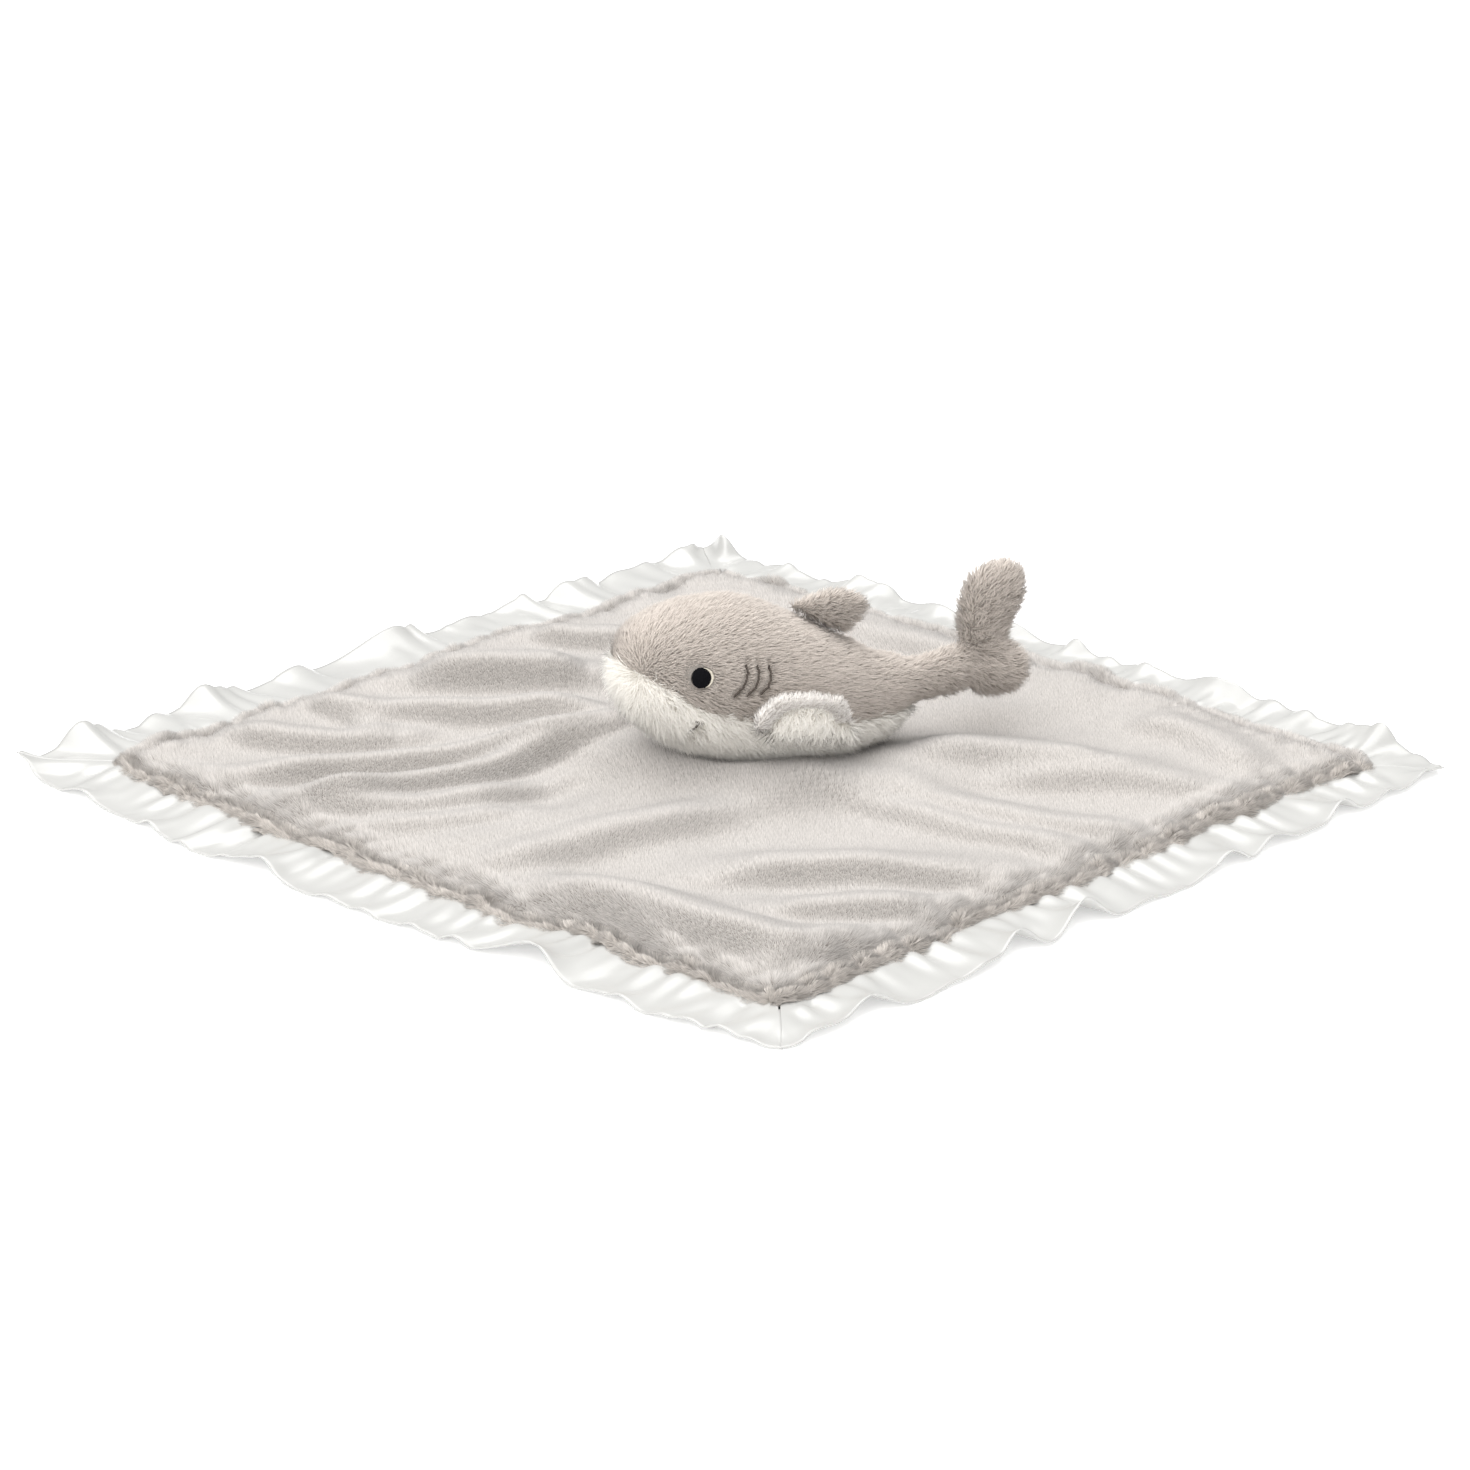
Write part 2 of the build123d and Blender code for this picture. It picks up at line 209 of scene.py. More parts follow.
# ---------------------------- materials
class Nodes:
    """A material's node tree, with the few nodes that these materials share."""

    def __init__(self, name, roughness, sheen=0.0, specular=0.3):
        self.material = bpy.data.materials.new(name)
        self.material.use_nodes = True
        self.tree = self.material.node_tree
        self.surface = self.tree.nodes["Principled BSDF"]
        self.surface.inputs["Roughness"].default_value = roughness
        self.surface.inputs["Specular IOR Level"].default_value = specular
        self.surface.inputs["Sheen Weight"].default_value = sheen
        self.surface.inputs["Sheen Roughness"].default_value = 0.5

    def add(self, kind, links=(), **settings):
        node = self.tree.nodes.new(kind)
        for key, value in settings.items():
            setattr(node, key, value)
        for socket, source in links:
            if hasattr(source, "is_output"):
                self.tree.links.new(source, node.inputs[socket])
            else:
                node.inputs[socket].default_value = source
        return node

    def ramp(self, source, stops):
        node = self.add("ShaderNodeValToRGB", [("Fac", source)])
        while len(node.color_ramp.elements) < len(stops):
            node.color_ramp.elements.new(0.5)
        for element, (place, colour) in zip(node.color_ramp.elements, stops):
            element.position = place
            element.color = (*colour, 1.0)
        return node.outputs["Color"]

    def noise(self, size, detail=3.0):
        """Noise of about the given size in mm in the row frame."""
        where = self.add("ShaderNodeTexCoord").outputs["Object"]
        settings = [("Vector", where), ("Scale", 1 / (size * MM)), ("Detail", detail)]
        return self.add("ShaderNodeTexNoise", settings).outputs["Fac"]

    def times(self, a, b):
        node = self.add("ShaderNodeMix", data_type="RGBA", blend_type="MULTIPLY")
        node.inputs["Factor"].default_value = 1.0
        self.tree.links.new(a, node.inputs["A"])
        self.tree.links.new(b, node.inputs["B"])
        return node.outputs["Result"]

    def bump(self, height, depth):
        """Relief of the given depth in mm."""
        node = self.add("ShaderNodeBump", [("Height", height), ("Distance", depth * MM), ("Strength", 1.0)])
        self.tree.links.new(node.outputs["Normal"], self.surface.inputs["Normal"])

    def colour(self, source):
        self.tree.links.new(source, self.surface.inputs["Base Color"])
        return self.material


def grey(value):
    return (value, value, value)


def hair_material(name, root, tip, spread=0.16):
    """Hairs are darker at the root, along U: partly the fibres' own darker roots, partly painted shade of the
    depth of the pile. Each has its own tone, along V.
    """
    nodes = Nodes(name, roughness=0.9, sheen=0.1, specular=0.06)
    where = nodes.add("ShaderNodeUVMap", uv_map=UV_NAME).outputs["UV"]
    apart = nodes.add("ShaderNodeSeparateXYZ", [("Vector", where)])
    middle = tuple(0.3 * r + 0.7 * t for r, t in zip(root, tip))
    along = nodes.ramp(apart.outputs["X"], [(0.0, root), (0.4, middle), (0.8, tip), (1.0, tip)])
    tone = nodes.ramp(apart.outputs["Y"], [(0.0, grey(1.0 - spread)), (1.0, grey(1.0))])
    return nodes.colour(nodes.times(along, tone))


def skin_material(name, dark, light, depth=0.5):
    """Cloth between the hairs: short mottled fibres."""
    nodes = Nodes(name, roughness=0.95, sheen=0.2, specular=0.1)
    fine = nodes.noise(1.1)
    nodes.bump(fine, depth)
    return nodes.colour(nodes.ramp(fine, [(0.3, dark), (0.75, light)]))


def satin_material(name, base):
    """Glossy cloth of fine threads, with a faint mottle."""
    nodes = Nodes(name, roughness=0.27, sheen=0.0, specular=0.85)
    nodes.surface.inputs["Anisotropic"].default_value = 0.35
    nodes.bump(nodes.noise(0.45, detail=1.0), 0.02)
    mottle = nodes.noise(14.0, detail=2.0)
    return nodes.colour(nodes.ramp(mottle, [(0.2, tuple(0.965 * c for c in base)), (0.8, base)]))


def thread_material(name, dark, light, gloss=0.3):
    """Embroidery or sewing thread of fine fibres."""
    nodes = Nodes(name, roughness=0.6, sheen=0.5 * gloss, specular=gloss)
    fibres = nodes.noise(0.25, detail=2.0)
    nodes.bump(fibres, 0.05)
    return nodes.colour(nodes.ramp(fibres, [(0.3, dark), (0.8, light)]))


# Each hair look is darker at the root than at the tip: partly the fibres' own colour, partly painted shade of
# the pile's depth, since the blanket's pile and the white fur cast no shadows.
BLANKET_HAIR_LOOK = hair_material("blanket_pile", (0.27, 0.245, 0.222), (0.635, 0.603, 0.573), spread=0.30)
HEM_HAIR_LOOK = hair_material("hem_pile", (0.30, 0.27, 0.24), (0.70, 0.65, 0.60), spread=0.30)
BLANKET_SKIN_LOOK = skin_material("blanket_cloth", (0.37, 0.348, 0.326), (0.47, 0.445, 0.420))
GREY_HAIR_LOOK = hair_material("shark_pile", (0.385, 0.328, 0.28), (0.755, 0.682, 0.618), spread=0.18)
GREY_SKIN_LOOK = skin_material("shark_cloth", (0.36, 0.33, 0.30), (0.48, 0.44, 0.40))
WHITE_HAIR_LOOK = hair_material("belly_pile", (0.70, 0.645, 0.56), (0.97, 0.94, 0.88), spread=0.14)
WHITE_SKIN_LOOK = skin_material("belly_cloth", (0.80, 0.775, 0.72), (0.92, 0.9, 0.86))
CREAM_HAIR_LOOK = hair_material("fin_pile", (0.74, 0.69, 0.64), (0.94, 0.90, 0.855), spread=0.06)
CREAM_SKIN_LOOK = skin_material("fin_cloth", (0.62, 0.585, 0.55), (0.76, 0.72, 0.68))
SATIN_LOOK = satin_material("satin", (0.485, 0.482, 0.465))
BLACK_THREAD_LOOK = thread_material("black_thread", (0.003, 0.003, 0.004), (0.008, 0.008, 0.010), gloss=0.04)
CREAM_THREAD_LOOK = thread_material("cream_thread", (0.62, 0.56, 0.45), (0.86, 0.82, 0.72))
# The grey thread is darker than the stitches' own grey-taupe: partly painted shade of the grooves where the
# gill and smile stitches part the fur.
GREY_THREAD_LOOK = thread_material("grey_thread", (0.05, 0.042, 0.036), (0.14, 0.118, 0.10), gloss=0.1)
HEM_THREAD_LOOK = thread_material("hem_thread", (0.34, 0.31, 0.28), (0.55, 0.51, 0.47))
FELT_LOOK = skin_material("felt", (0.42, 0.39, 0.36), (0.55, 0.51, 0.48), depth=0.1)


# ---------------------------- hairs
BENT_HAIR = [(2, 1, 0)]
STRAIGHT_HAIR = [(2, 1, 0)]
for corner in range(3):
    after = (corner + 1) % 3
    BENT_HAIR += [(corner, after, 3 + after), (corner, 3 + after, 3 + corner), (3 + corner, 3 + after, 6)]
    STRAIGHT_HAIR += [(corner, after, 3)]


def hairs(name, roots, normals, comb, length, look, width, lean, tone, lift=0.0, shading=None):
    """Closed three-sided hairs that taper to a point. lean is the angle from the normal at the root and at
    the tip, in degrees, one pair for all hairs. Equal angles make straight hairs with fewer faces. tone is
    from 0 to 1. lift turns the shading of loose fur towards the sky, as light passes down through it. shading
    holds the normals to shade by, where they aren't those that the hairs stand on."""
    bent = lean[0] != lean[1]
    lit = unit((normals if shading is None else shading) + lift * UP)
    comb = unit(comb - dot(comb, normals) * normals)
    side = unit(np.cross(normals, comb))
    first, last = np.radians(lean)
    at_root = normals * math.cos(first) + comb * math.sin(first)
    at_tip = normals * math.cos(last) + comb * math.sin(last)
    middle = roots + at_root * length[:, None] / 2
    tip = middle + at_tip * length[:, None] / 2
    other = np.cross(at_root, side)
    spin = rng.uniform(0, 2 * math.pi, len(roots))
    rings, shades = [], []
    for base, share in [(roots, 1.0), (middle, 0.8)] if bent else [(roots, 1.0)]:
        for step in range(3):
            turn = (spin + step * 2 * math.pi / 3)[:, None]
            round_it = side * np.cos(turn) + other * np.sin(turn)
            rings.append(base + round_it * width * share / 2)
            shades.append(unit(lit * HAIR_SOFTNESS + round_it * (1 - HAIR_SOFTNESS)))
    rings.append(tip)
    shades.append(lit)
    points, shade = np.stack(rings, 1), np.stack(shades, 1)
    template = np.array(BENT_HAIR if bent else STRAIGHT_HAIR)
    faces = (np.arange(len(roots))[:, None, None] * len(rings) + template).reshape(-1, 3)
    along = [0.02] * 3 + [0.5] * 3 + [0.98] if bent else [0.02] * 3 + [0.98]
    uv = np.stack(np.broadcast_arrays(np.array(along)[None, :], np.clip(tone, 0.02, 0.98)[:, None]), -1)
    return mesh_object(name, points.reshape(-1, 3), faces, look, uv.reshape(-1, 2), shade.reshape(-1, 3))


# ---------------------------- the blanket's shape
panel_high = np.array(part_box("blanket_top_panel")[1]) / MM
HALF_X, HALF_Y = panel_high[:2]
CLOTH_X, CLOTH_Y = HALF_X - EDGE_PILE, HALF_Y - EDGE_PILE  # half sizes of the cloth
RUFFLE_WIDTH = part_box("satin_ruffle_right")[1].x / MM - HALF_X
CLOTH_TOP = panel_high[2] - BLANKET_PILE

# The edges don't lie quite straight. Each row is a place along the side, the outward shift of the plush
# there, and that of the satin's outer edge.
EDGES = {
    "front": [(-222, 2, 3), (-150, 7, 6), (-100, 10, 11), (-30, 10, 10), (40, 9, 7), (70, 8, 4),
              (98, -1, 3), (160, 0, 1), (222, 2, -7)],
    "right": [(-211, 6, -3), (-120, 1, 1), (110, 1, 1), (211, 6, -2)],
    "back": [(-222, -3, -4), (-100, 7, 4), (80, 9, 3), (150, 4, 1), (222, 3, -2)],
    "left": [(-211, -3, 2), (-100, -4, 3), (0, -1, 4), (100, -4, 0), (211, -6, 1)],
}
# Along and outward directions of each side, its half length, and how far out it lies.
SIDES = {
    "front": ((1, 0), (0, -1), HALF_X, HALF_Y),
    "right": ((0, 1), (1, 0), HALF_Y, HALF_X),
    "back": ((1, 0), (0, 1), HALF_X, HALF_Y),
    "left": ((0, 1), (-1, 0), HALF_Y, HALF_X),
}
PLUSH_CORNER = 16  # how far its rounded corners reach
CORNER_PULL = 3.2  # and how far their tips are pulled in
EDGE_WANDER = 1.5
# Height of the cloth near its edge: (distance in, height). A lip stands outside the sewn line.
HEM_PROFILE = [(0, 1.4), (1.6, 3.9), (4.0, 4.9), (HEM_INSET, 1.9), (9.8, 4.6), (15.0, CLOTH_TOP),
               (400.0, CLOTH_TOP)]
BACK_PROFILE = [(0, 1.3), (3, 0.5), (7, 0.9), (14, 0.35), (400, 0.35)]
LOWEST = 0.8  # of the upper cloth
# Folds: crest line, height, and how far it falls away on the camera's side and on the far side.
FOLDS = [
    ([(-168, -36), (-150, -20), (-130, 2), (-112, 22)], 8.0, 14, 22),
    ([(-174, 45), (-154, 56), (-134, 74)], 4.5, 10, 16),
    ([(-163, -79), (-137, -70), (-112, -50), (-92, -27), (-68, -10)], 5.5, 11, 18),
    ([(-180, -86), (-152, -84), (-128, -90)], 3.0, 8, 12),
    ([(-178, -132), (-152, -126), (-128, -109), (-114, -88)], 4.5, 10, 14),
    ([(-138, -178), (-121, -159), (-107, -132), (-90, -110), (-76, -85), (-63, -56), (-56, -24)], 5.0, 9, 13),
    ([(-98, -180), (-78, -160), (-64, -130), (-55, -100), (-52, -62), (-48, -22)], 5.5, 8, 12),
    ([(-86, -174), (-66, -160), (-46, -138), (-34, -112), (-30, -76)], 4.0, 9, 12),
    ([(-52, -172), (-28, -146), (-12, -116)], 2.6, 9, 12),
    ([(-4, -172), (2, -120), (8, -72)], 2.2, 12, 14),
    ([(15, -178), (24, -150), (32, -118), (40, -84), (50, -42)], 4.6, 14, 20),
    ([(46, -180), (66, -168), (92, -161), (123, -158), (154, -151), (174, -138)], 7.0, 11, 22),
    ([(94, -118), (109, -94), (130, -73), (155, -51), (176, -34)], 5.4, 11, 20),
    ([(134, -122), (149, -110), (163, -92), (182, -72)], 4.2, 9, 14),
    ([(168, -168), (178, -138), (184, -110)], 3.0, 8, 10),
    ([(60, -8), (98, -6), (136, -2), (164, 7), (190, 5)], 3.4, 10, 14),
    ([(72, 10), (108, 14), (144, 22), (170, 35), (190, 43)], 3.0, 9, 14),
    ([(58, 40), (78, 60), (104, 80), (130, 92)], 5.0, 14, 20),
    ([(96, 44), (122, 66), (150, 88), (176, 104)], 3.2, 12, 16),
    ([(92, 146), (132, 150), (170, 132)], 3.2, 12, 16),
    ([(-160, 120), (-120, 132), (-80, 128)], 3.4, 14, 18),
    ([(-120, 168), (-60, 158), (0, 160)], 3.0, 14, 18),
    ([(-50, -44), (-20, -38), (14, -30), (44, -14), (70, 6)], 7.0, 26, 40),
]
FOLD_GAIN = 1.65
FOLD_STEEPNESS = 0.85  # narrows the folds on the camera's side
FOLD_ROUNDNESS = 2.2
FOLD_ENDS = [(0.0, 0.35), (0.3, 1.0), (0.75, 1.0), (1.0, 0.5)]  # (share of the fold's length, of its height)
FIELD_REACH = 240.0
FIELD_STEP = 1.5
FIELD_PLACES = np.arange(-FIELD_REACH, FIELD_REACH, FIELD_STEP)

HEADROOM_REACH = 105.0  # the shark's body stays this near to its sewn spot, along x and y
SWIVEL_ROOM = 0.4  # share of the swivelling that the cloth leaves room for
ROCK_ROOM = 0.3  # and of the rocking; beyond it the belly presses the pile
FREE_HEIGHT = 40.0  # room where nothing stands over the cloth
BELLY_SINK = 1.4  # how far the belly's surface lies in the pile
RAY_START = 20.0  # below the floor
BACK_NODES = ["body_panel_left", "body_panel_right"]
FIN_FACES = [f"{side}_{face}" for side in ("left", "right") for face in ("upper", "under")]
HEADROOM_NODES = ["belly_panel", *BACK_NODES, *(f"pectoral_fin_{face}_panel" for face in FIN_FACES)]

spot_at = np.array(joints["shark_swivel"]["pos_m"][:2]) / MM
ripple = Waves(46.0)
swell = Waves(120.0)
pucker = Waves(11.0)
wander = Waves(38.0)


def fold_field():
    """Height that the folds add, on a square grid of places."""
    x, y = np.meshgrid(FIELD_PLACES, FIELD_PLACES, indexing="ij")
    where = np.stack([x, y], -1).reshape(-1, 2)
    row = np.arange(len(where))
    total = np.zeros(len(where))
    for line, height, near, far in FOLDS:
        crest = through(line)
        away = where[:, None, :] - crest[None]
        distance = np.linalg.norm(away, axis=2)
        closest = distance.argmin(1)
        gap = distance[row, closest]
        facing = (away[row, closest] @ TOWARDS_CAMERA[:2]) / np.maximum(gap, 1e-6)
        spread = far + (near * FOLD_STEEPNESS - far) * smooth(0.5 + 0.5 * facing)
        strength = FOLD_GAIN * height * eased(closest / (len(crest) - 1), FOLD_ENDS)
        total += strength * np.exp(-((gap / spread) ** FOLD_ROUNDNESS))
    flat = np.column_stack([where, np.zeros(len(where))])
    total += 0.5 * ripple(flat) + 0.7 * swell(flat)
    return total.reshape(x.shape)


def on_grid(field, x, y):
    """A field's value between its grid places."""
    u = np.clip((x + FIELD_REACH) / FIELD_STEP, 0, field.shape[0] - 1.001)
    v = np.clip((y + FIELD_REACH) / FIELD_STEP, 0, field.shape[1] - 1.001)
    i, j = u.astype(int), v.astype(int)
    s, t = u - i, v - j
    low = field[i, j] * (1 - s) + field[i + 1, j] * s
    high = field[i, j + 1] * (1 - s) + field[i + 1, j + 1] * s
    return low * (1 - t) + high * t


def about(joint, degrees):
    """A joint's turn, as a matrix in mm."""
    place = Matrix.Translation(Vector(joint["pos_m"]) / MM)
    return place @ Matrix.Rotation(math.radians(degrees), 4, Vector(joint["axis"])) @ place.inverted()


def node_tree(*names):
    """A tree of the faces of CAD nodes, for finding what is nearest. Row frame, mm."""
    points, faces = [], []
    for name in names:
        mesh = frame["nodes"][name].data
        first = len(points)
        points += [vertex.co / MM for vertex in mesh.vertices]
        faces += [[first + corner for corner in face.vertices] for face in mesh.polygons]
    return BVHTree.FromPolygons(points, faces)


def with_neighbours(room, shifts):
    """The grid moved by each shift, along each of its two axes."""
    return [np.roll(room, shift, axis) for shift in shifts for axis in (0, 1)]


def headroom():
    """How high the cloth may stand under the shark, on the same grid, as the shark swivels and rocks."""
    underside = node_tree(*HEADROOM_NODES)
    swivel, rock = joints["shark_swivel"], joints["shark_rock"]
    room = np.full((len(FIELD_PLACES), len(FIELD_PLACES)), FREE_HEIGHT)
    near = [np.flatnonzero(np.abs(FIELD_PLACES - middle) < HEADROOM_REACH)[::2] for middle in spot_at]
    spots = [(i, j) for i in near[0] for j in near[1]]
    for turn in SWIVEL_ROOM * np.linspace(*swivel["range_deg"], 5):
        for tip in ROCK_ROOM * np.linspace(*rock["range_deg"], 3):
            back = (about(swivel, turn) @ about(rock, tip)).inverted()
            up = back.to_3x3() @ Vector(UP)
            for i, j in spots:
                start = Vector((FIELD_PLACES[i], FIELD_PLACES[j], -RAY_START))
                far = underside.ray_cast(back @ start, up)[3]
                if far is not None and far - RAY_START < room[i, j]:
                    cell = np.s_[i : i + 2, j : j + 2]
                    room[cell] = np.minimum(room[cell], far - RAY_START)
    room = np.minimum.reduce(with_neighbours(room, (-1, 0, 1)))
    for _ in range(3):
        room = (room + sum(with_neighbours(room, (-1, 1)))) / 5
    return room - BLANKET_PILE + BELLY_SINK


FOLD_FIELD = fold_field()
HEADROOM = headroom()


def distance_in(p, q):
    """How far places on the flat panel are from the cloth's nearest edge."""
    return np.minimum(CLOTH_X - np.abs(p), CLOTH_Y - np.abs(q))


def plush_surface(p, q):
    """Points of the blanket's upper cloth, from places on the flat panel."""
    into_x, into_y = CLOTH_X - np.abs(p), CLOTH_Y - np.abs(q)
    inside = np.minimum(into_x, into_y)
    from_tip = np.hypot(np.minimum(into_x, PLUSH_CORNER), np.minimum(into_y, PLUSH_CORNER))
    corner = smooth(1 - from_tip / PLUSH_CORNER)
    x = p - np.sign(p) * CORNER_PULL * corner
    y = q - np.sign(q) * CORNER_PULL * corner
    for side, axis, sign in (("front", 1, -1), ("back", 1, 1), ("left", 0, -1), ("right", 0, 1)):
        along, reach = (p, q * sign / CLOTH_Y) if axis else (q, p * sign / CLOTH_X)
        shift = eased(along, [(place, plush) for place, plush, satin in EDGES[side]])
        apart = np.broadcast_to((sign * 90.0, axis * 70.0), (len(along), 2))  # no two sides wander alike
        shift = shift + EDGE_WANDER * wander(np.column_stack([along, apart]))
        push = sign * shift * np.clip(reach, 0, 1) ** 4
        if axis:
            y = y + push
        else:
            x = x + push
    flat = np.stack([x, y, np.zeros_like(x)], -1)
    # Folds flatten towards the sewn edge, where the hem puckers instead.
    lively = 1 - smooth((inside - 8) / 14)
    z = eased(inside, HEM_PROFILE) + on_grid(FOLD_FIELD, x, y) * (0.3 + 0.7 * smooth((inside - 2) / 26))
    z = z + lively * (0.75 * pucker(flat) + 0.9 * wander(flat))
    z = np.minimum(z, on_grid(HEADROOM, x, y))
    return np.stack([x, y, np.maximum(z, LOWEST)], -1)


def surface_normals(p, q, step=0.7):
    across = plush_surface(p + step, q) - plush_surface(p - step, q)
    along = plush_surface(p, q + step) - plush_surface(p, q - step)
    return unit(np.cross(across, along))


def panel_lines(half):
    """Grid lines across the panel, closer together at its hems."""
    near = np.array([0, 0.8, 1.6, 2.4, 3.2, 4.1, 5.0, 5.9, 6.8, 7.8, 8.8, 10, 11.3, 12.8, 14.6, 17])
    inner = half - near[-1]
    middle = np.linspace(-inner, inner, int(2 * inner / CLOTH_STEP) + 1)
    return np.concatenate([-half + near[:-1], middle, (half - near[:-1])[::-1]])


def panel_grid():
    """Places over the flat panel, row by row, with their faces and UVs."""
    lines_x, lines_y = panel_lines(CLOTH_X), panel_lines(CLOTH_Y)
    p, q = (places.ravel() for places in np.meshgrid(lines_x, lines_y, indexing="ij"))
    uv = np.stack([p / (2 * HALF_X) + 0.5, q / (2 * HALF_Y) + 0.5], -1)
    return p, q, grid_faces(len(lines_x), len(lines_y)), uv


def plush_top():
    p, q, faces, uv = panel_grid()
    top = mesh_object("blanket_top_cloth", plush_surface(p, q), faces[:, ::-1], BLANKET_SKIN_LOOK, uv)
    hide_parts("blanket_top_panel")
    return top


def plush_back():
    """The lower cloth, which lies flat on what the blanket rests on."""
    p, q, faces, uv = panel_grid()
    points = plush_surface(p, q)
    points[:, 2] = eased(distance_in(p, q), BACK_PROFILE)
    back = mesh_object("blanket_back_cloth", points, faces, BLANKET_SKIN_LOOK, uv)
    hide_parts("blanket_back_panel")
    return back


# ---------------------------- the blanket's pile
QUARTERS = ("left", "back", "front", "right")
LIP_DEPTH = 5.5  # the pile this near the edge is the lip's
LIP_BAND = 5.0  # the lip's extra hairs stand this near the edge
LIP_EXTRA = 8.0  # and are as many as this width of flat pile has


def pieces_for(count, template):
    """How many pieces so many hairs need."""
    return max(1, math.ceil(count * len(template) / MOST_FACES))


def pile_places():
    """Places of the hairs on the flat panel: an even scatter, and more along the four edges."""
    gap = 10 / math.sqrt(BLANKET_HAIRS_PER_CM2)
    lines = np.arange(-CLOTH_X, CLOTH_X, gap), np.arange(-CLOTH_Y, CLOTH_Y, gap)
    p, q = (places.ravel() for places in np.meshgrid(*lines, indexing="ij"))
    p = np.clip(p + rng.uniform(-0.6, 0.6, len(p)) * gap, -CLOTH_X, CLOTH_X)
    q = np.clip(q + rng.uniform(-0.6, 0.6, len(q)) * gap, -CLOTH_Y, CLOTH_Y)
    extra = int(4 * (CLOTH_X + CLOTH_Y) * LIP_EXTRA / 100 * BLANKET_HAIRS_PER_CM2)
    side = rng.integers(0, 4, extra)
    depth = rng.uniform(0, LIP_BAND, extra)
    along = rng.uniform(-1, 1, extra)
    sides = [side == k for k in range(3)]
    lip_p = np.select(sides, [along * CLOTH_X, along * CLOTH_X, -CLOTH_X + depth], CLOTH_X - depth)
    lip_q = np.select(sides, [-CLOTH_Y + depth, CLOTH_Y - depth, along * CLOTH_Y], along * CLOTH_Y)
    return np.concatenate([p, lip_p]), np.concatenate([q, lip_q])


def out_of_panel(p, q):
    """The direction out of the nearest side."""
    across = CLOTH_X - np.abs(p) < CLOTH_Y - np.abs(q)
    return np.stack([np.where(across, np.sign(p), 0), np.where(across, 0, np.sign(q)), np.zeros(len(p))], -1)


def pile_comb(roots, inside, outward):
    """The way the hairs lie: all one way with slight swirls, and outwards over the hem."""
    swirl_x, swirl_y = Waves(7.0), Waves(7.0)
    comb = PILE_DIRECTION + 0.12 * np.stack([swirl_x(roots), swirl_y(roots), np.zeros(len(roots))], -1)
    over_hem = (1 - smooth((inside - 3) / 16))[:, None]
    return comb + 0.25 * rng.normal(size=comb.shape) + 3.0 * outward * over_hem


def pile_lengths(roots, inside, tuft):
    """Longer near the hem, pressed down at its sewn line and short under the shark's sewn spot."""
    length = BLANKET_HAIR + (HEM_HAIR - BLANKET_HAIR) * smooth((26 - inside) / 17)
    length = length * (1 + 0.02 * tuft(roots) + 0.04 * rng.normal(size=len(roots)))
    length = length * (1 - 0.35 * smooth(1 - np.abs(inside - HEM_INSET) / 2.2))
    from_spot = np.linalg.norm(roots[:, :2] - spot_at, axis=1)
    return length * (0.6 + 0.4 * smooth((from_spot - 10) / 8))


def plush_pile():
    """The blanket's pile, in one piece for each quarter and more where that is too many hairs."""
    p, q = pile_places()
    roots, normals = plush_surface(p, q), surface_normals(p, q)
    shading = unit(surface_normals(p, q, SHADE_STEP) * (FOLD_SHADE, FOLD_SHADE, 1.0))
    inside, outward = distance_in(p, q), out_of_panel(p, q)
    tuft = Waves(2.0)
    comb = pile_comb(roots, inside, outward)
    length = pile_lengths(roots, inside, tuft)
    tone = 0.55 + 0.22 * tuft(roots) + 0.25 * rng.normal(size=len(roots))
    quarter = (p > 0).astype(int) * 2 + (q > 0).astype(int)
    lip = (inside < LIP_DEPTH) & (outward @ TOWARDS_CAMERA > 0)
    groups = [(f"blanket_pile_{name}", (quarter == k) & ~lip) for k, name in enumerate(QUARTERS)]
    pieces = []
    for name, chosen in [*groups, ("hem_pile", lip)]:
        look = HEM_HAIR_LOOK if name == "hem_pile" else BLANKET_HAIR_LOOK
        chosen = np.flatnonzero(chosen)
        parts = pieces_for(len(chosen), STRAIGHT_HAIR)
        for part in range(parts):
            pick = chosen[part::parts]
            piece = hairs(f"{name}_{part + 1}", roots[pick], normals[pick], comb[pick], length[pick], look,
                          BLANKET_HAIR_WIDTH, (PILE_LEAN, PILE_LEAN), tone[pick], shading=shading[pick])
            piece.visible_shadow = name == "hem_pile"  # light reaches down through the short pile
            pieces.append(piece)
    return pieces


# ---------------------------- the satin edge
# Waves of the satin's outer edge: (place along the side, height, half width).
CREASES = {
    "front": [(-222, 6, 16), (-168, 2, 12), (-120, 1.6, 14), (-56, 6, 16), (-8, 1.5, 12), (38, 2, 12),
              (92, 10, 15), (136, 2, 10), (176, 3, 9), (204, 2, 9)],
    "right": [(-190, 2, 10), (-155, 8, 12), (-112, 2, 10), (-73, 10, 11), (-36, 10, 11), (2, 2, 12),
              (50, 4, 13), (84, 6, 10), (108, 2, 10), (131, 8, 10), (163, 4, 9), (192, 5, 12)],
    "back": [(-208, 10, 14), (-168, 6, 14), (-118, 10, 18), (-74, 7, 14), (-30, 9, 16), (10, 6, 14),
             (52, 7, 15), (92, 12, 17), (140, 6, 15), (178, 11, 18)],
    "left": [(-212, 6, 9), (-172, 9, 13), (-104, 9, 15), (-58, 4, 14), (0, 12, 20), (48, 5, 12),
             (78, 8, 13), (118, 9, 14), (160, 5, 12), (196, 9, 14)],
}
CREASE_LEAN = 0.2  # how far a wave's crest leans along the side, as a share of its height
CREASE_PULL = 0.42  # how far a wave takes the edge in, as a share of its height
CORNER_LIFTS = {"front": (7.0, 0.6), "right": (0.6, 2.5), "back": (5.0, 2.5), "left": (7.0, 5.0)}
MITRE = 16  # the waves die out this far before the mitre
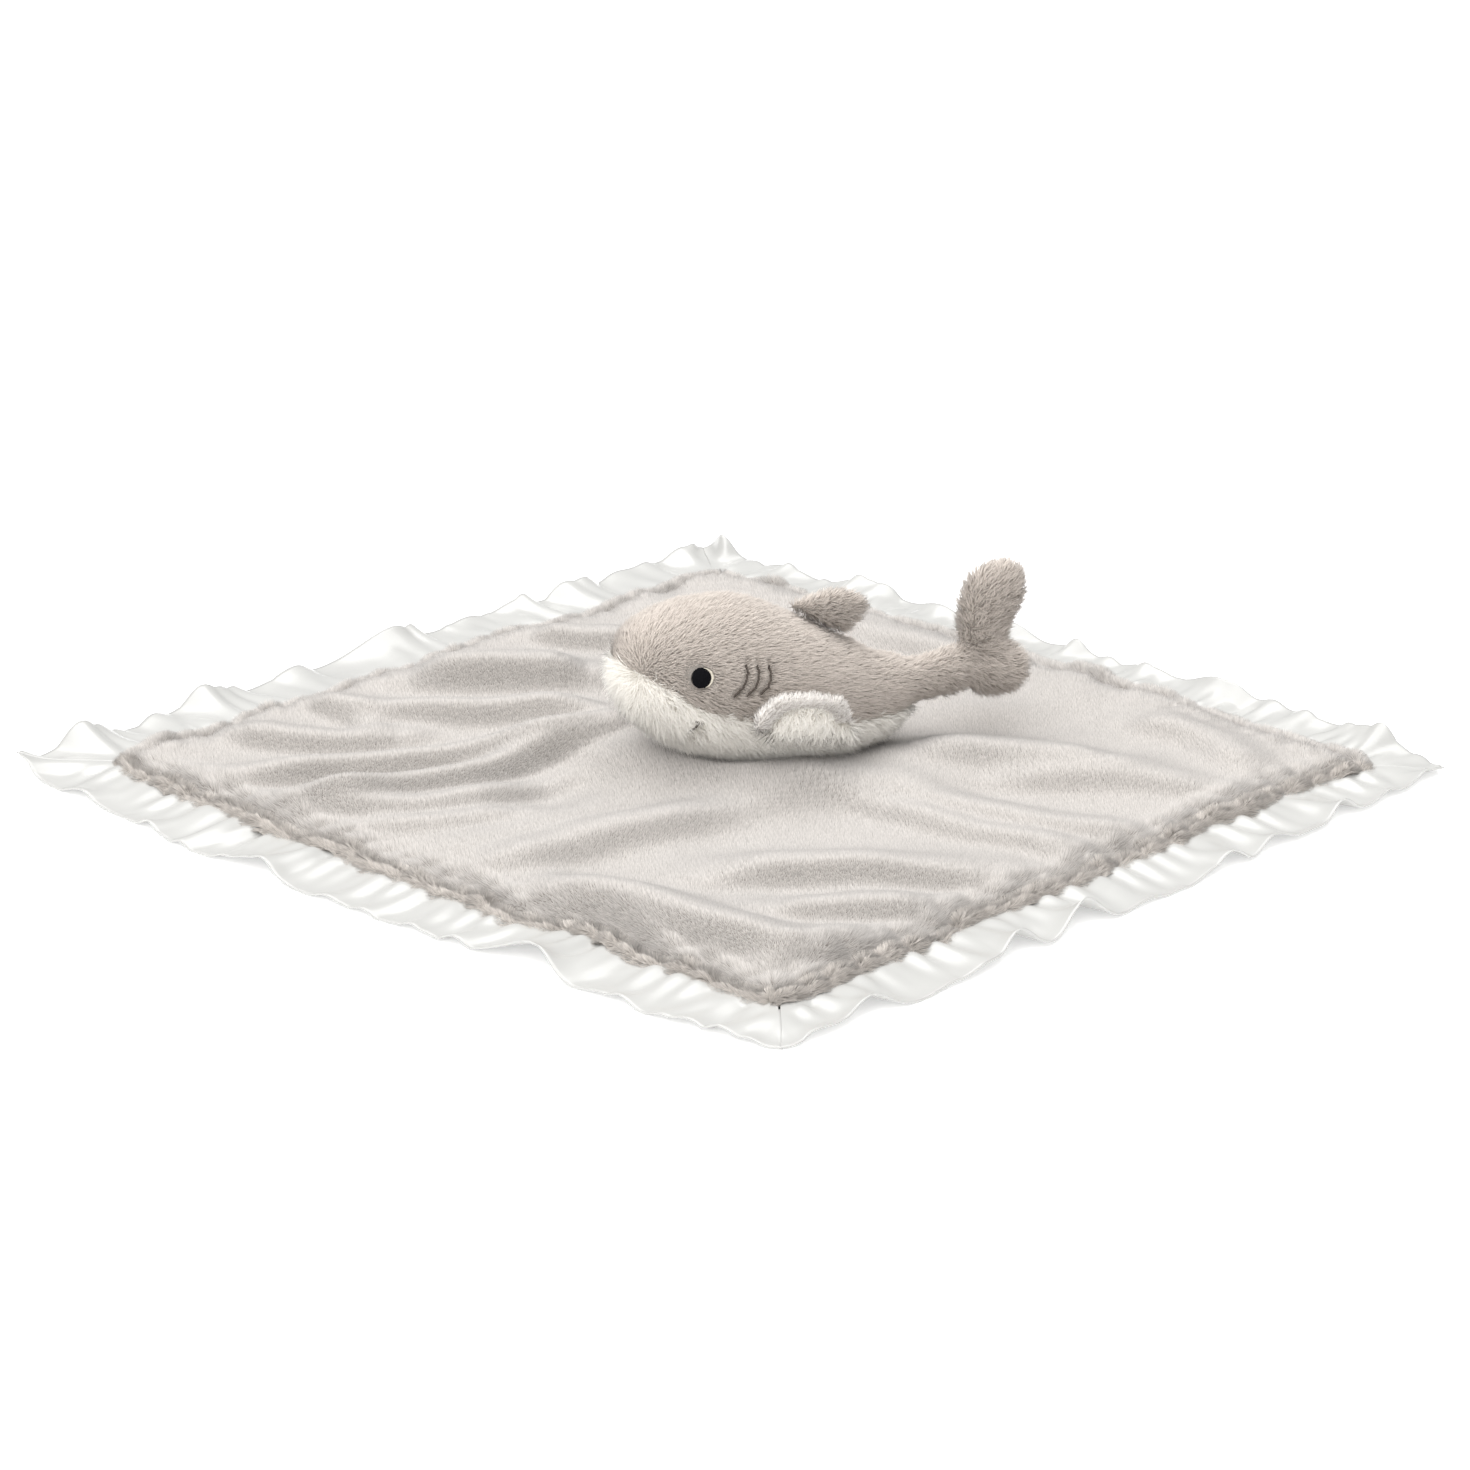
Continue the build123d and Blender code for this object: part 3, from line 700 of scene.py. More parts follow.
SATIN_HIDDEN = 7.0  # satin between the plush panels
SATIN_SEAM_HEIGHT = 3.6
SEAM_SINK = 3.0  # how far under the plush edge the satin's seam lies
SATIN_THICK = 0.7
SATIN_REST = 0.55  # height of the middle of the cloth where it lies on the floor
SATIN_LOWEST = 0.5
SATIN_CORNER = 13.0  # radius of its outer corners
SATIN_STEP = 1.5
SATIN_STEPS_ACROSS = 26
MITRE_OVERLAP = 1.006  # the front and back strips reach this far past the mitre, so that no gap shows
UV_MARGIN = 0.02


def corner_shift(side, end):
    """Shifts of the plush and the satin, at the corner, of the side that this one meets at its start (0) or
    end (1)."""
    met = (("left", "right") if side in ("front", "back") else ("front", "back"))[end]
    beginning = sum(SIDES[side][1]) < 0
    return EDGES[met][0 if beginning else -1][1:]


def creased(side, place):
    """Height of the side's waves at each place, and how far they lean along the side."""
    lift, lean = np.zeros(len(place)), np.zeros(len(place))
    for at, height, width in CREASES[side]:
        away = (place - at) / width
        bell = np.exp(-(away**2) * np.where(away > 0, 1.1, 0.75))
        lift += height * bell
        lean += CREASE_LEAN * height * bell
    return lift, lean


def rounded_corner(side, t, place, outward):
    """Places along and out of the side, with the satin's outer corners rounded off."""
    half, edge = SIDES[side][2:]
    ends = half + RUFFLE_WIDTH + np.where(t < 0, corner_shift(side, 0)[1], corner_shift(side, 1)[1])
    outer = edge + RUFFLE_WIDTH + np.where(t < 0, EDGES[side][0][2], EDGES[side][-1][2])
    u = np.clip(1 - (ends - np.abs(place)) / SATIN_CORNER, 0, 1)
    v = np.clip(1 - (outer - outward) / SATIN_CORNER, 0, 1)
    inward = 1 - np.maximum(u, v) / np.maximum(np.hypot(u, v), 1e-6)
    return place - np.sign(t) * SATIN_CORNER * u * inward, outward - SATIN_CORNER * v * inward


def satin_points(side, t, out):
    """Points of a side's satin, from the share of the way along it, -1 to 1, and the distance out of the
    seam. It leaves the seam level and then falls to the floor or rises in waves."""
    along_to, out_to, half, edge = SIDES[side]
    free = np.clip(out / RUFFLE_WIDTH, 0, 1)
    shifts = (corner_shift(side, end) for end in (0, 1))
    start, end = ((1 - free) * plush + free * satin for plush, satin in shifts)
    reach = half + out - SEAM_SINK * (1 - free) + np.where(t < 0, start, end)
    place = t * reach
    at_edge = t * (half + RUFFLE_WIDTH)
    plush = eased(at_edge, [(at, shift) for at, shift, _ in EDGES[side]])
    satin = eased(at_edge, [(at, shift) for at, _, shift in EDGES[side]])
    from_end = reach - np.abs(place)
    mitre = smooth(1 - from_end / MITRE)
    lift, lean = creased(side, place)
    at_start, at_end = CORNER_LIFTS[side]
    lift = lift * (1 - mitre) + at_start * mitre * (t < 0) + at_end * mitre * (t > 0)
    rise = lift * free**1.4
    gather = Waves(10.0, 5)(np.stack([place, place * 0, place * 0], -1)) * (1 - mitre)
    soft = Waves(26.0, 6)(np.stack([place, out * 0.5, place * 0 + edge], -1)) * (1 - mitre)
    z = SATIN_SEAM_HEIGHT * (1 - smooth(free / 0.85)) + SATIN_REST
    z = z + rise + 0.9 * gather * smooth(out / 5 + 0.4) * (1 - free)
    z = z + 1.5 * soft * free * (1 - 0.4 * free) + 1.0 * np.abs(soft) * free
    z = z - 0.2 * smooth(1 - from_end / 2.0) * free
    pull = CREASE_PULL * rise * (1 - mitre)
    outward = edge + out + plush * (1 - free) + satin * free - pull - SEAM_SINK * (1 - free)
    place = place + lean * (1 - mitre) * free**1.5
    place, outward = rounded_corner(side, t, place, outward)
    x = place * along_to[0] + outward * out_to[0]
    y = place * along_to[1] + outward * out_to[1]
    return np.stack([x, y, np.maximum(z, SATIN_LOWEST)], -1)


def satin_strip(side):
    """One side's satin, from mitre to mitre."""
    along_to, out_to, half, _ = SIDES[side]
    across = np.linspace(-SATIN_HIDDEN, RUFFLE_WIDTH, SATIN_STEPS_ACROSS)
    over = MITRE_OVERLAP if side in ("front", "back") else 1.0
    share = np.linspace(-over, over, int(2 * (half + RUFFLE_WIDTH) / SATIN_STEP))
    t, out = (places.ravel() for places in np.meshgrid(share, across, indexing="ij"))
    parts = np.stack([(t + 1) / 2, (out + SATIN_HIDDEN) / (RUFFLE_WIDTH + SATIN_HIDDEN)], -1)
    uv = UV_MARGIN + (1 - 2 * UV_MARGIN) * parts
    faces = grid_faces(len(share), len(across))
    if np.cross(along_to, out_to) < 0:
        faces = faces[:, ::-1]
    strip = mesh_object(f"satin_{side}", satin_points(side, t, out), faces, SATIN_LOOK, uv)
    thick = strip.modifiers.new("thickness", "SOLIDIFY")
    thick.thickness = SATIN_THICK * MM
    thick.offset = 0.0
    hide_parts(f"satin_ruffle_{side}")
    return strip


# ---------------------------- the shark's frame
LEFT = np.array(joints["shark_rock"]["axis"])
FORWARD = np.cross(LEFT, UP)
ANCHOR_FORWARD = -5.0  # the rocking joint's place in the shark's frame
ORIGIN = np.array(joints["shark_rock"]["pos_m"]) / MM * (1, 1, 0) - ANCHOR_FORWARD * FORWARD


def turn_to_row(vectors):
    """Directions from the shark's frame (forward, left, up) to the row frame."""
    vectors = np.asarray(vectors, float)
    return vectors[..., :1] * FORWARD + vectors[..., 1:2] * LEFT + vectors[..., 2:] * UP


def to_row(points):
    """Places from the shark's frame to the row frame."""
    points = np.asarray(points, float)
    return ORIGIN + points[..., :1] * FORWARD + points[..., 1:2] * LEFT + points[..., 2:] * UP


def to_shark(points):
    away = points - ORIGIN
    return np.stack([away @ FORWARD, away @ LEFT, away[..., 2]], -1)


# ---------------------------- skins from the CAD solids
def grown_solids(nodes):
    """One mesh of these CAD nodes, each grown by CLOSING so that they meet."""
    joined = bmesh.new()
    for node in nodes:
        part = bmesh.new()
        part.from_mesh(frame["nodes"][node].data)
        bmesh.ops.remove_doubles(part, verts=part.verts, dist=0.01 * MM)
        bmesh.ops.recalc_face_normals(part, faces=part.faces)
        part.normal_update()
        for vertex in part.verts:
            vertex.co += vertex.normal * CLOSING * MM
        flat = bpy.data.meshes.new("part")
        part.to_mesh(flat)
        part.free()
        joined.from_mesh(flat)
        bpy.data.meshes.remove(flat)
    whole = bpy.data.meshes.new("whole")
    joined.to_mesh(whole)
    joined.free()
    return whole


def voxel_skin(mesh, step):
    """(points, triangles) of a smooth closed skin round a mesh, which is used up."""
    holder = bpy.data.objects.new("holder", mesh)
    bpy.context.scene.collection.objects.link(holder)
    voxels = holder.modifiers.new("voxels", "REMESH")
    voxels.mode = "VOXEL"
    voxels.voxel_size = step * MM
    soften = holder.modifiers.new("soften", "SMOOTH")
    soften.factor = 0.5
    soften.iterations = 6
    holder.modifiers.new("triangles", "TRIANGULATE")
    done = bpy.data.meshes.new_from_object(holder.evaluated_get(bpy.context.evaluated_depsgraph_get()))
    points = np.zeros(len(done.vertices) * 3)
    done.vertices.foreach_get("co", points)
    triangles = np.zeros(len(done.polygons) * 3, np.int32)
    done.polygons.foreach_get("vertices", triangles)
    bpy.data.objects.remove(holder)
    for used in (mesh, done):
        bpy.data.meshes.remove(used)
    return points.reshape(-1, 3) / MM, triangles.reshape(-1, 3)


def thickness(points, normals, triangles):
    """How far the skin's other side is below each point."""
    tree = BVHTree.FromPolygons(points.tolist(), triangles.tolist())
    rays = zip(points, normals)
    hits = [tree.ray_cast(Vector(point - normal * 0.2), Vector(-normal))[3] for point, normal in rays]
    return np.array([99.0 if hit is None else hit for hit in hits])


def closed_skin(nodes, pile, core, step=SKIN_STEP, rounds=6, thin=None):
    """(points, triangles) of one smooth skin round these CAD nodes, taken in by the pile's height.
    Where the solid is thin, it keeps at least the core's half thickness."""
    points, triangles = voxel_skin(grown_solids(nodes), step)
    total = pile + CLOSING
    for _ in range(rounds):
        normals = point_normals(points, triangles)
        room = thickness(points, normals, triangles)
        take = np.clip(np.minimum(total / rounds, (room / 2 - core) / 2), 0, None)
        if thin is not None:
            take = take * thin(points)
        points = points - normals * take[:, None]
        points = relaxed(points, triangles, 0.35)
    return points, triangles


def point_normals(points, triangles):
    a, b, c = (points[triangles[:, k]] for k in range(3))
    face = np.cross(b - a, c - a)
    normals = np.zeros_like(points)
    for k in range(3):
        np.add.at(normals, triangles[:, k], face)
    return unit(normals)


def relaxed(points, triangles, share):
    """Each point moved a share of the way to the middle of its neighbours."""
    total, count = np.zeros_like(points), np.zeros(len(points))
    for a, b in ((0, 1), (1, 2), (2, 0), (1, 0), (2, 1), (0, 2)):
        np.add.at(total, triangles[:, a], points[triangles[:, b]])
        np.add.at(count, triangles[:, a], 1)
    return points + share * (total / np.maximum(count, 1)[:, None] - points)


def part_of(points, triangles, chosen):
    """Only the chosen triangles, with the points that they use."""
    kept = triangles[chosen]
    used, renumbered = np.unique(kept, return_inverse=True)
    return points[used], renumbered.reshape(kept.shape)


def skin_object(name, points, triangles, look, slot, replaced):
    flat = points[:, :2] - points[:, :2].min(0)
    uv = np.stack([flat[:, 0] / 200, points[:, 2] / 200], -1)
    made = mesh_object(name, points, triangles, look, uv)
    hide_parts(*replaced)
    return made


def scatter(points, triangles, per_cm2):
    """Evenly spread places on a skin, and the smooth normal at each."""
    normals = point_normals(points, triangles)
    a, b, c = (points[triangles[:, k]] for k in range(3))
    area = np.linalg.norm(np.cross(b - a, c - a), axis=1) / 2
    ends = np.cumsum(area)
    count = int(ends[-1] / 100 * per_cm2)
    pick = np.searchsorted(ends, (np.arange(count) + rng.random(count)) / count * ends[-1])
    pick = np.minimum(pick, len(area) - 1)
    u, v = rng.random(count), rng.random(count)
    over = u + v > 1
    u[over], v[over] = 1 - u[over], 1 - v[over]
    weights = np.stack([1 - u - v, u, v], -1)
    place = (points[triangles[pick]] * weights[..., None]).sum(1)
    normal = unit((normals[triangles[pick]] * weights[..., None]).sum(1))
    return place, normal


def distance_to_line(points, line):
    """Distance from each flat point to the nearest of the points of a finely divided line, and which one."""
    gaps = np.linalg.norm(points[:, None, :] - line[None], axis=2)
    return gaps.min(1), gaps.argmin(1)


def arc(start, end, bulge):
    """A shallow bow between two places, as flat points."""
    middle = ((start[0] + end[0]) / 2 - bulge, (start[1] + end[1]) / 2)
    return through([start, middle, end], 16)


GILL_LINES = [arc(top, bottom, GILL_BULGE) for top, bottom in GILLS]
SMILE_LINES = [arc(*MOUTH, MOUTH_BULGE), through(MOUTH_TICK, 10)]
eye_low, eye_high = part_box("eye_left")
EYE_AT = to_shark((np.array(eye_low) + np.array(eye_high)) / 2 / MM)


def trimmed(local, length):
    """Hair lengths where the embroidery parts the fur, or 0 where there is none. local is in the shark's
    frame."""
    flat = local[:, [0, 2]]
    away = flat - EYE_AT[[0, 2]]
    gap = np.linalg.norm(away, axis=1)
    ahead = smooth(0.5 + away[:, 0] / 6)
    beside = np.abs(local[:, 1]) > 10
    cut = 1 - (0.75 * ahead + 0.12) * smooth(1 - (gap - EYE_RADIUS) / 5.5)
    length = np.where(beside, length * np.where(gap < EYE_RADIUS + 0.1, 0.0, cut), length)
    for line in GILL_LINES:
        gap, nearest = distance_to_line(flat, line)
        before, behind = 0.22 + 0.78 * smooth((gap - 0.7) / 3.2), 0.25 + 0.75 * smooth((gap - 0.5) / 1.2)
        cut = np.where(flat[:, 0] > line[nearest, 0], before, behind)
        length = np.where(beside, length * cut, length)
    for line in SMILE_LINES:
        gap, nearest = distance_to_line(flat, line)
        cut = 0.12 + 0.88 * smooth((gap - 0.3) / 2.6)
        length = np.where(beside, length * cut, length)
    return length


def body_comb(local, white):
    """Which way the shark's fur lies: away from the nose seam on the snout, then towards the tail."""
    side = np.where(local[:, 1] >= 0, 1.0, -1.0)
    nose = np.array(NOSE_SEAM) * np.column_stack([np.ones(len(local)), side, np.ones(len(local))])
    away = local - nose
    away[:, 1] *= smooth(np.abs(local[:, 1]) / 12)
    far = np.linalg.norm(away, axis=1, keepdims=True)
    back = np.array([-1.0, 0.0, -0.55 if white else -0.12])
    return unit(away) * (1 - smooth(far / 45)) + back * smooth(far / 30 + 0.1)


def tail_comb(local):
    """Up and back on the upper lobe, straight back on the lower one."""
    upper = smooth((local[:, 2] - 46) / 10)[:, None]
    return np.array([-1.0, 0.0, -0.1]) * (1 - upper) + np.array([-0.5, 0.0, 0.8]) * upper


# ---------------------------- fur pieces
FUR_LEAN = (32, 56)  # degrees, at the root and at the tip
STUBBLE = 0.6  # shorter hairs are left out


def fur(name, places, normals, comb, length, look, stray=0.22, lift=0.0):
    """One piece of fur on a skin. comb is in the row frame, and stray is how unruly it is."""
    kept = length > STUBBLE
    places, normals, comb, length = places[kept], normals[kept], comb[kept], length[kept]
    lock = np.stack([Waves(5.0)(places), Waves(5.0)(places), Waves(5.0)(places)], -1)
    comb = unit(comb) + stray * (0.8 * lock + 0.9 * rng.normal(size=comb.shape))
    normals_in = unit(normals + 0.10 * stray / 0.22 * rng.normal(size=normals.shape) + 0.06 * lock)
    length = length * (1 + 0.10 * Waves(3.0)(places) + 0.08 * rng.normal(size=len(length)))
    tone = 0.55 + 0.16 * Waves(2.6)(places) + 0.22 * rng.normal(size=len(places))
    piece = hairs(name, places, normals_in, comb, length, look, FUR_HAIR_WIDTH, FUR_LEAN, tone, lift)
    piece.visible_shadow = look is not WHITE_HAIR_LOOK  # white fibres pass most of the light on
    return piece


def same_way(direction, places):
    """One comb direction for all places."""
    return np.broadcast_to(direction, places.shape).copy()


BODY_NODES = [*BACK_NODES, "belly_panel", "body_stuffing"]
STOCK_NODES = ["tail_panel_left", "tail_panel_right", "tail_stuffing"]
TAIL_NODES = ["tail_fin_panel_left", "tail_fin_panel_right", "tail_fin_wadding"]
STANDS_FOR = {
    "back": [*BACK_NODES, "body_stuffing"],
    "belly": ["belly_panel"],
    "tail": STOCK_NODES + TAIL_NODES,
}
belly_tree, back_tree = node_tree("belly_panel"), node_tree(*BACK_NODES)


def bend_at_stock(piece):
    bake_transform(piece)


def bend_at_tail(piece):
    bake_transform(piece)


def less_at_tail(places):
    """Share of the pile's height by which the skin is taken in."""
    return 1 - 0.5 * smooth((-70 - to_shark(places)[:, 0]) / 12)


def body_skin():
    """The skin of body, stock and tail, relaxed most between body and tail, where the CAD's pieces meet."""
    nodes = BODY_NODES + STOCK_NODES + TAIL_NODES
    points, triangles = closed_skin(nodes, pile=3.4, core=1.5, thin=less_at_tail)
    for _ in range(45):
        forward = to_shark(points)[:, 0]
        fill = smooth((forward + 72) / 8) * smooth((-36 - forward) / 12)
        points = points + 0.6 * fill[:, None] * (relaxed(points, triangles, 1.0) - points)
    return points, triangles


def regions_of(places):
    """Which places are on the back's, the belly's and the tail's cloth."""
    forward = to_shark(places)[:, 0]
    front = forward > TAIL_CUT
    belly = np.zeros(len(places), bool)
    belly[front] = [belly_tree.find_nearest(p)[3] < back_tree.find_nearest(p)[3] for p in places[front]]
    belly &= forward > BELLY_END
    return {"back": front & ~belly, "belly": belly, "tail": ~front}


def coat_of(region, local):
    """Comb, hair lengths and unruliness of a region's fur, at places in the shark's frame."""
    if region == "tail":
        return tail_comb(local), np.full(len(local), TAIL_FUR), 0.34
    if region == "belly":
        return body_comb(local, True), trimmed(local, np.full(len(local), WHITE_FUR)), 0.36
    length = trimmed(local, np.full(len(local), GREY_FUR))
    return body_comb(local, False), length * (1 - 0.25 * smooth((local[:, 0] - 55) / 20)), 0.2


def shark():
    points, triangles = body_skin()
    on_skin = regions_of(points[triangles].mean(1))
    places, normals = scatter(points, triangles, FUR_PER_CM2)
    on_fur = regions_of(places)
    for region, here in on_fur.items():
        white = region == "belly"
        slot = "belly_plush" if white else "shark_plush"
        shape = part_of(points, triangles, on_skin[region])
        look = WHITE_SKIN_LOOK if white else GREY_SKIN_LOOK
        pieces = [skin_object(f"shark_{region}_cloth", *shape, look, slot, STANDS_FOR[region])]
        spots, out = places[here], normals[here]
        comb, length, stray = coat_of(region, to_shark(spots))
        hair = WHITE_HAIR_LOOK if white else GREY_HAIR_LOOK
        parts = pieces_for(len(spots), BENT_HAIR)
        for part in range(parts):
            pick = np.s_[part::parts]
            name = f"shark_{region}_fur_{part + 1}"
            pieces.append(fur(name, spots[pick], out[pick], turn_to_row(comb[pick]), length[pick], hair,
                              stray=stray, lift=0.2 if white else 0.0))
        for piece in pieces:
            bend_at_tail(piece) if region == "tail" else bend_at_stock(piece)


def dorsal_fin():
    nodes = ["dorsal_fin_panel_left", "dorsal_fin_panel_right", "dorsal_fin_wadding"]
    points, triangles = closed_skin(nodes, pile=1.2, core=1.2, step=FIN_STEP)
    skin = skin_object("dorsal_fin_cloth", points, triangles, GREY_SKIN_LOOK, "shark_plush", nodes)
    places, normals = scatter(points, triangles, FUR_PER_CM2 * FIN_DENSER)
    comb = same_way(turn_to_row((-0.75, 0.0, 0.45)), places)
    length = np.full(len(places), GREY_FUR)
    coat = fur("dorsal_fin_fur", places, normals, comb, length, GREY_HAIR_LOOK, stray=0.3)
    for piece in (skin, coat):
        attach(piece, "dorsal_fin")


# The side fin's white face is a part of a rounded box in the fin's own plane, measured from the fold's joint.
FIN_HALF = (22.5, 17.4)  # along the chord, and up
FIN_ROUNDNESS = 2.6
FIN_MIDDLE = -3.7  # height of its middle over the joint
FIN_TILT = 9.0  # degrees, of the fin's plane outwards
WHITE_SHARE = 0.70  # the white reaches this share of the way to the outline
FIN_LOW = 2.0  # below this height it reaches all the way,
FIN_END = -15.0  # from this place along the chord on
FIN_FACE = -0.6  # the outer face starts this far out of the fin's plane


class FinPlane:
    """Directions in a side fin: along its chord, up its face and out of it."""

    def __init__(self, joint, sign):
        self.centre = np.array(joint["pos_m"]) / MM
        self.chord = unit(np.array(joint["axis"]) * sign)
        outward = unit(sign * LEFT - dot(sign * LEFT, self.chord) * self.chord)
        height = unit(np.cross(self.chord, outward)) * sign
        height = height if height[2] > 0 else -height
        tilt = math.radians(FIN_TILT)
        self.height = height * math.cos(tilt) + outward * math.sin(tilt)
        self.outward = outward * math.cos(tilt) - height * math.sin(tilt)

    def measured(self, places):
        """How far from the fin's middle to its outline, 0 to 1, and whether on its outer face."""
        away = places - self.centre
        along, up = away @ self.chord, away @ self.height - FIN_MIDDLE
        across, rising = np.abs(along) / FIN_HALF[0], np.clip(up, 0, None) / FIN_HALF[1]
        share = (across**FIN_ROUNDNESS + rising**FIN_ROUNDNESS) ** (1 / FIN_ROUNDNESS)
        return share, away @ self.outward > FIN_FACE

    def is_white(self, places):
        share, outer = self.measured(places)
        away = places - self.centre
        low = (away @ self.height < FIN_LOW) & (away @ self.chord > FIN_END)
        return outer & ((share < WHITE_SHARE) | low)


def pectoral_fin(side):
    """A side fin: a white face turned out and down, inside a paler grey rim that shows above and behind."""
    body = f"pectoral_fin_{side}"
    upper, under, wadding = f"{body}_upper_panel", f"{body}_under_panel", f"{body}_wadding"
    plane = FinPlane(joints[f"{body}_fold"], 1.0 if side == "left" else -1.0)
    points, triangles = closed_skin([upper, under, wadding], pile=1.9, core=0.9, step=FIN_STEP)
    white = plane.is_white(points[triangles].mean(1))
    places, normals = scatter(points, triangles, FUR_PER_CM2 * FIN_DENSER)
    on_white = plane.is_white(places)
    share, outer = plane.measured(places)
    groove = 1 - 0.6 * smooth(1 - np.abs(share - WHITE_SHARE) / 0.09) * outer
    down, rising = -plane.chord * 0.6 - plane.height * 0.75, plane.height * 0.9
    for name, chosen, here, skin_look, hair_look, slot, replaced, way, longest, stray, lift in (
        ("under", white, on_white, WHITE_SKIN_LOOK, WHITE_HAIR_LOOK, "belly_plush", [under],
         down, FIN_WHITE_FUR, 0.45, 0.25),
        ("upper", ~white, ~on_white, CREAM_SKIN_LOOK, CREAM_HAIR_LOOK, "shark_plush", [upper, wadding],
         rising, FIN_RIM_FUR, 0.3, 0.4),
    ):
        shape = part_of(points, triangles, chosen)
        skin = skin_object(f"{body}_{name}_cloth", *shape, skin_look, slot, replaced)
        spots = places[here]
        coat = fur(f"{body}_{name}_fur", spots, normals[here], same_way(way, spots), longest * groove[here],
                   hair_look, stray=stray, lift=lift)
        for piece in (skin, coat):
            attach(piece, body)


# ---------------------------- embroidery
THREAD_END = 0.35  # share of its radius that a thread has at its two ends
THREAD_TIP = 0.4  # and how far its tip stands out, in radii
THREAD_UV_WIDTH = 450  # wider than the object, in mm


def tube(line, radius, sides=8):
    """Points and faces of a closed round thread along a line, with rounded ends."""
    line = np.asarray(line, float)
    ahead = unit(np.gradient(line, axis=0))
    side = unit(np.cross(ahead, UP + 0.01 * FORWARD))
    other = np.cross(ahead, side)
    turn = np.linspace(0, 2 * math.pi, sides, endpoint=False)
    thin = np.ones(len(line))
    thin[[0, -1]] = THREAD_END
    ring = side[:, None] * np.cos(turn)[None, :, None] + other[:, None] * np.sin(turn)[None, :, None]
    points = line[:, None] + ring * (radius * thin)[:, None, None]
    tips = [line[:1] - ahead[:1] * radius * THREAD_TIP, line[-1:] + ahead[-1:] * radius * THREAD_TIP]
    points = np.vstack([points.reshape(-1, 3), *tips])
    faces = grid_faces(len(line), sides, closed=True)
    triangles = np.vstack([faces[:, [0, 1, 2]], faces[:, [0, 2, 3]]])
    first, last = len(points) - 2, len(points) - 1
    start = [(first, (k + 1) % sides, k) for k in range(sides)]
    base = (len(line) - 1) * sides
    end = [(last, base + k, base + (k + 1) % sides) for k in range(sides)]
    return points, np.vstack([triangles, start, end])


def threads(name, lines, radius, look, replaced, body="shark_body"):
    """Several threads as one piece."""
    points, faces, first = [], [], 0
    for line in lines:
        more, triangles = tube(line, radius)
        points.append(more)
        faces.append(triangles + first)
        first += len(more)
    points, faces = np.vstack(points), np.vstack(faces)
    uv = (points[:, :2] - points[:, :2].min(0)) / THREAD_UV_WIDTH
    piece = mesh_object(name, points, faces, look, uv)
    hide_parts(replaced)
    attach(piece, body)


BESIDE = 60.0  # a place this far to the side is outside the shark
surface_tree = node_tree(*BACK_NODES, "belly_panel")


def outwards(direction, side):
    """The direction, or its opposite, that points to the side, +1 left or -1 right."""
    return direction if direction @ LEFT * side > 0 else -direction


def on_surface(flat, side, depth):
    """Places on the shark's outer surface at (forward, up), on the side that is +1 left or -1 right, sunk by
    a depth."""
    found = []
    for forward, up in flat:
        start = to_row((forward, BESIDE * side, up))
        hit, normal, _, _ = surface_tree.ray_cast(Vector(start), Vector(-LEFT * side))
        found.append(np.array(hit) - outwards(np.array(normal), side) * depth)
    return np.array(found)


def stem_stitches(line, side, depth, slant):
    """Short overlapping stitches along a line, as an embroidered cord."""
    made = []
    steps = max(2, int(len(line) / STITCH_LENGTH))
    for k in range(steps):
        a = k * (len(line) - 1) // steps
        b = min(len(line) - 1, a + int(1.7 * (len(line) - 1) / steps))
        piece = line[a : b + 1].copy()
        piece[:, 0] += np.linspace(-slant, slant, len(piece))
        made.append(on_surface(piece, side, depth))
    return made


def eye_plane(side):
    """A function that turns places on an eye, (ahead, up, out) from its middle, into the row frame."""
    middle = EYE_AT[[0, 2]]
    spot = on_surface([middle], side, 0)[0]
    around = on_surface([middle + offset for offset in ((4, 0), (-4, 0), (0, 4), (0, -4))], side, 0)
    out = outwards(unit(np.cross(around[0] - around[1], around[2] - around[3])), side)
    ahead = unit(FORWARD - (FORWARD @ out) * out)
    up = np.cross(out, ahead) * side
    return lambda a, b, rise: spot + a * ahead + b * up + rise * out


def eye_disc(on_eye):
    """Rows of thread that fill the eye and bulge in its middle."""
    rows = []
    for b in np.arange(-EYE_RADIUS + 0.25, EYE_RADIUS, 0.46):
        reach = math.sqrt(EYE_RADIUS**2 - b**2)
        row = np.linspace(-reach, reach, 9)
        rows.append([on_eye(a, b, -0.15 + 0.5 * (1 - (a * a + b * b) / EYE_RADIUS**2)) for a in row])
    return rows


def eye_crescent(on_eye):
    """Short threads that stand out from the rear of the eye, longest in the middle of the crescent."""
    stitches = []
    inner = EYE_RADIUS - 0.1
    for angle in np.radians(np.arange(112, 250, 5.5)):
        x, y = math.cos(angle), math.sin(angle)
        width = 1.05 * math.sin((math.degrees(angle) - 108) / 144 * math.pi) + 0.1
        stitches.append([on_eye(x * r, y * r, -0.05) for r in np.linspace(inner, inner + width, 4)])
    return stitches


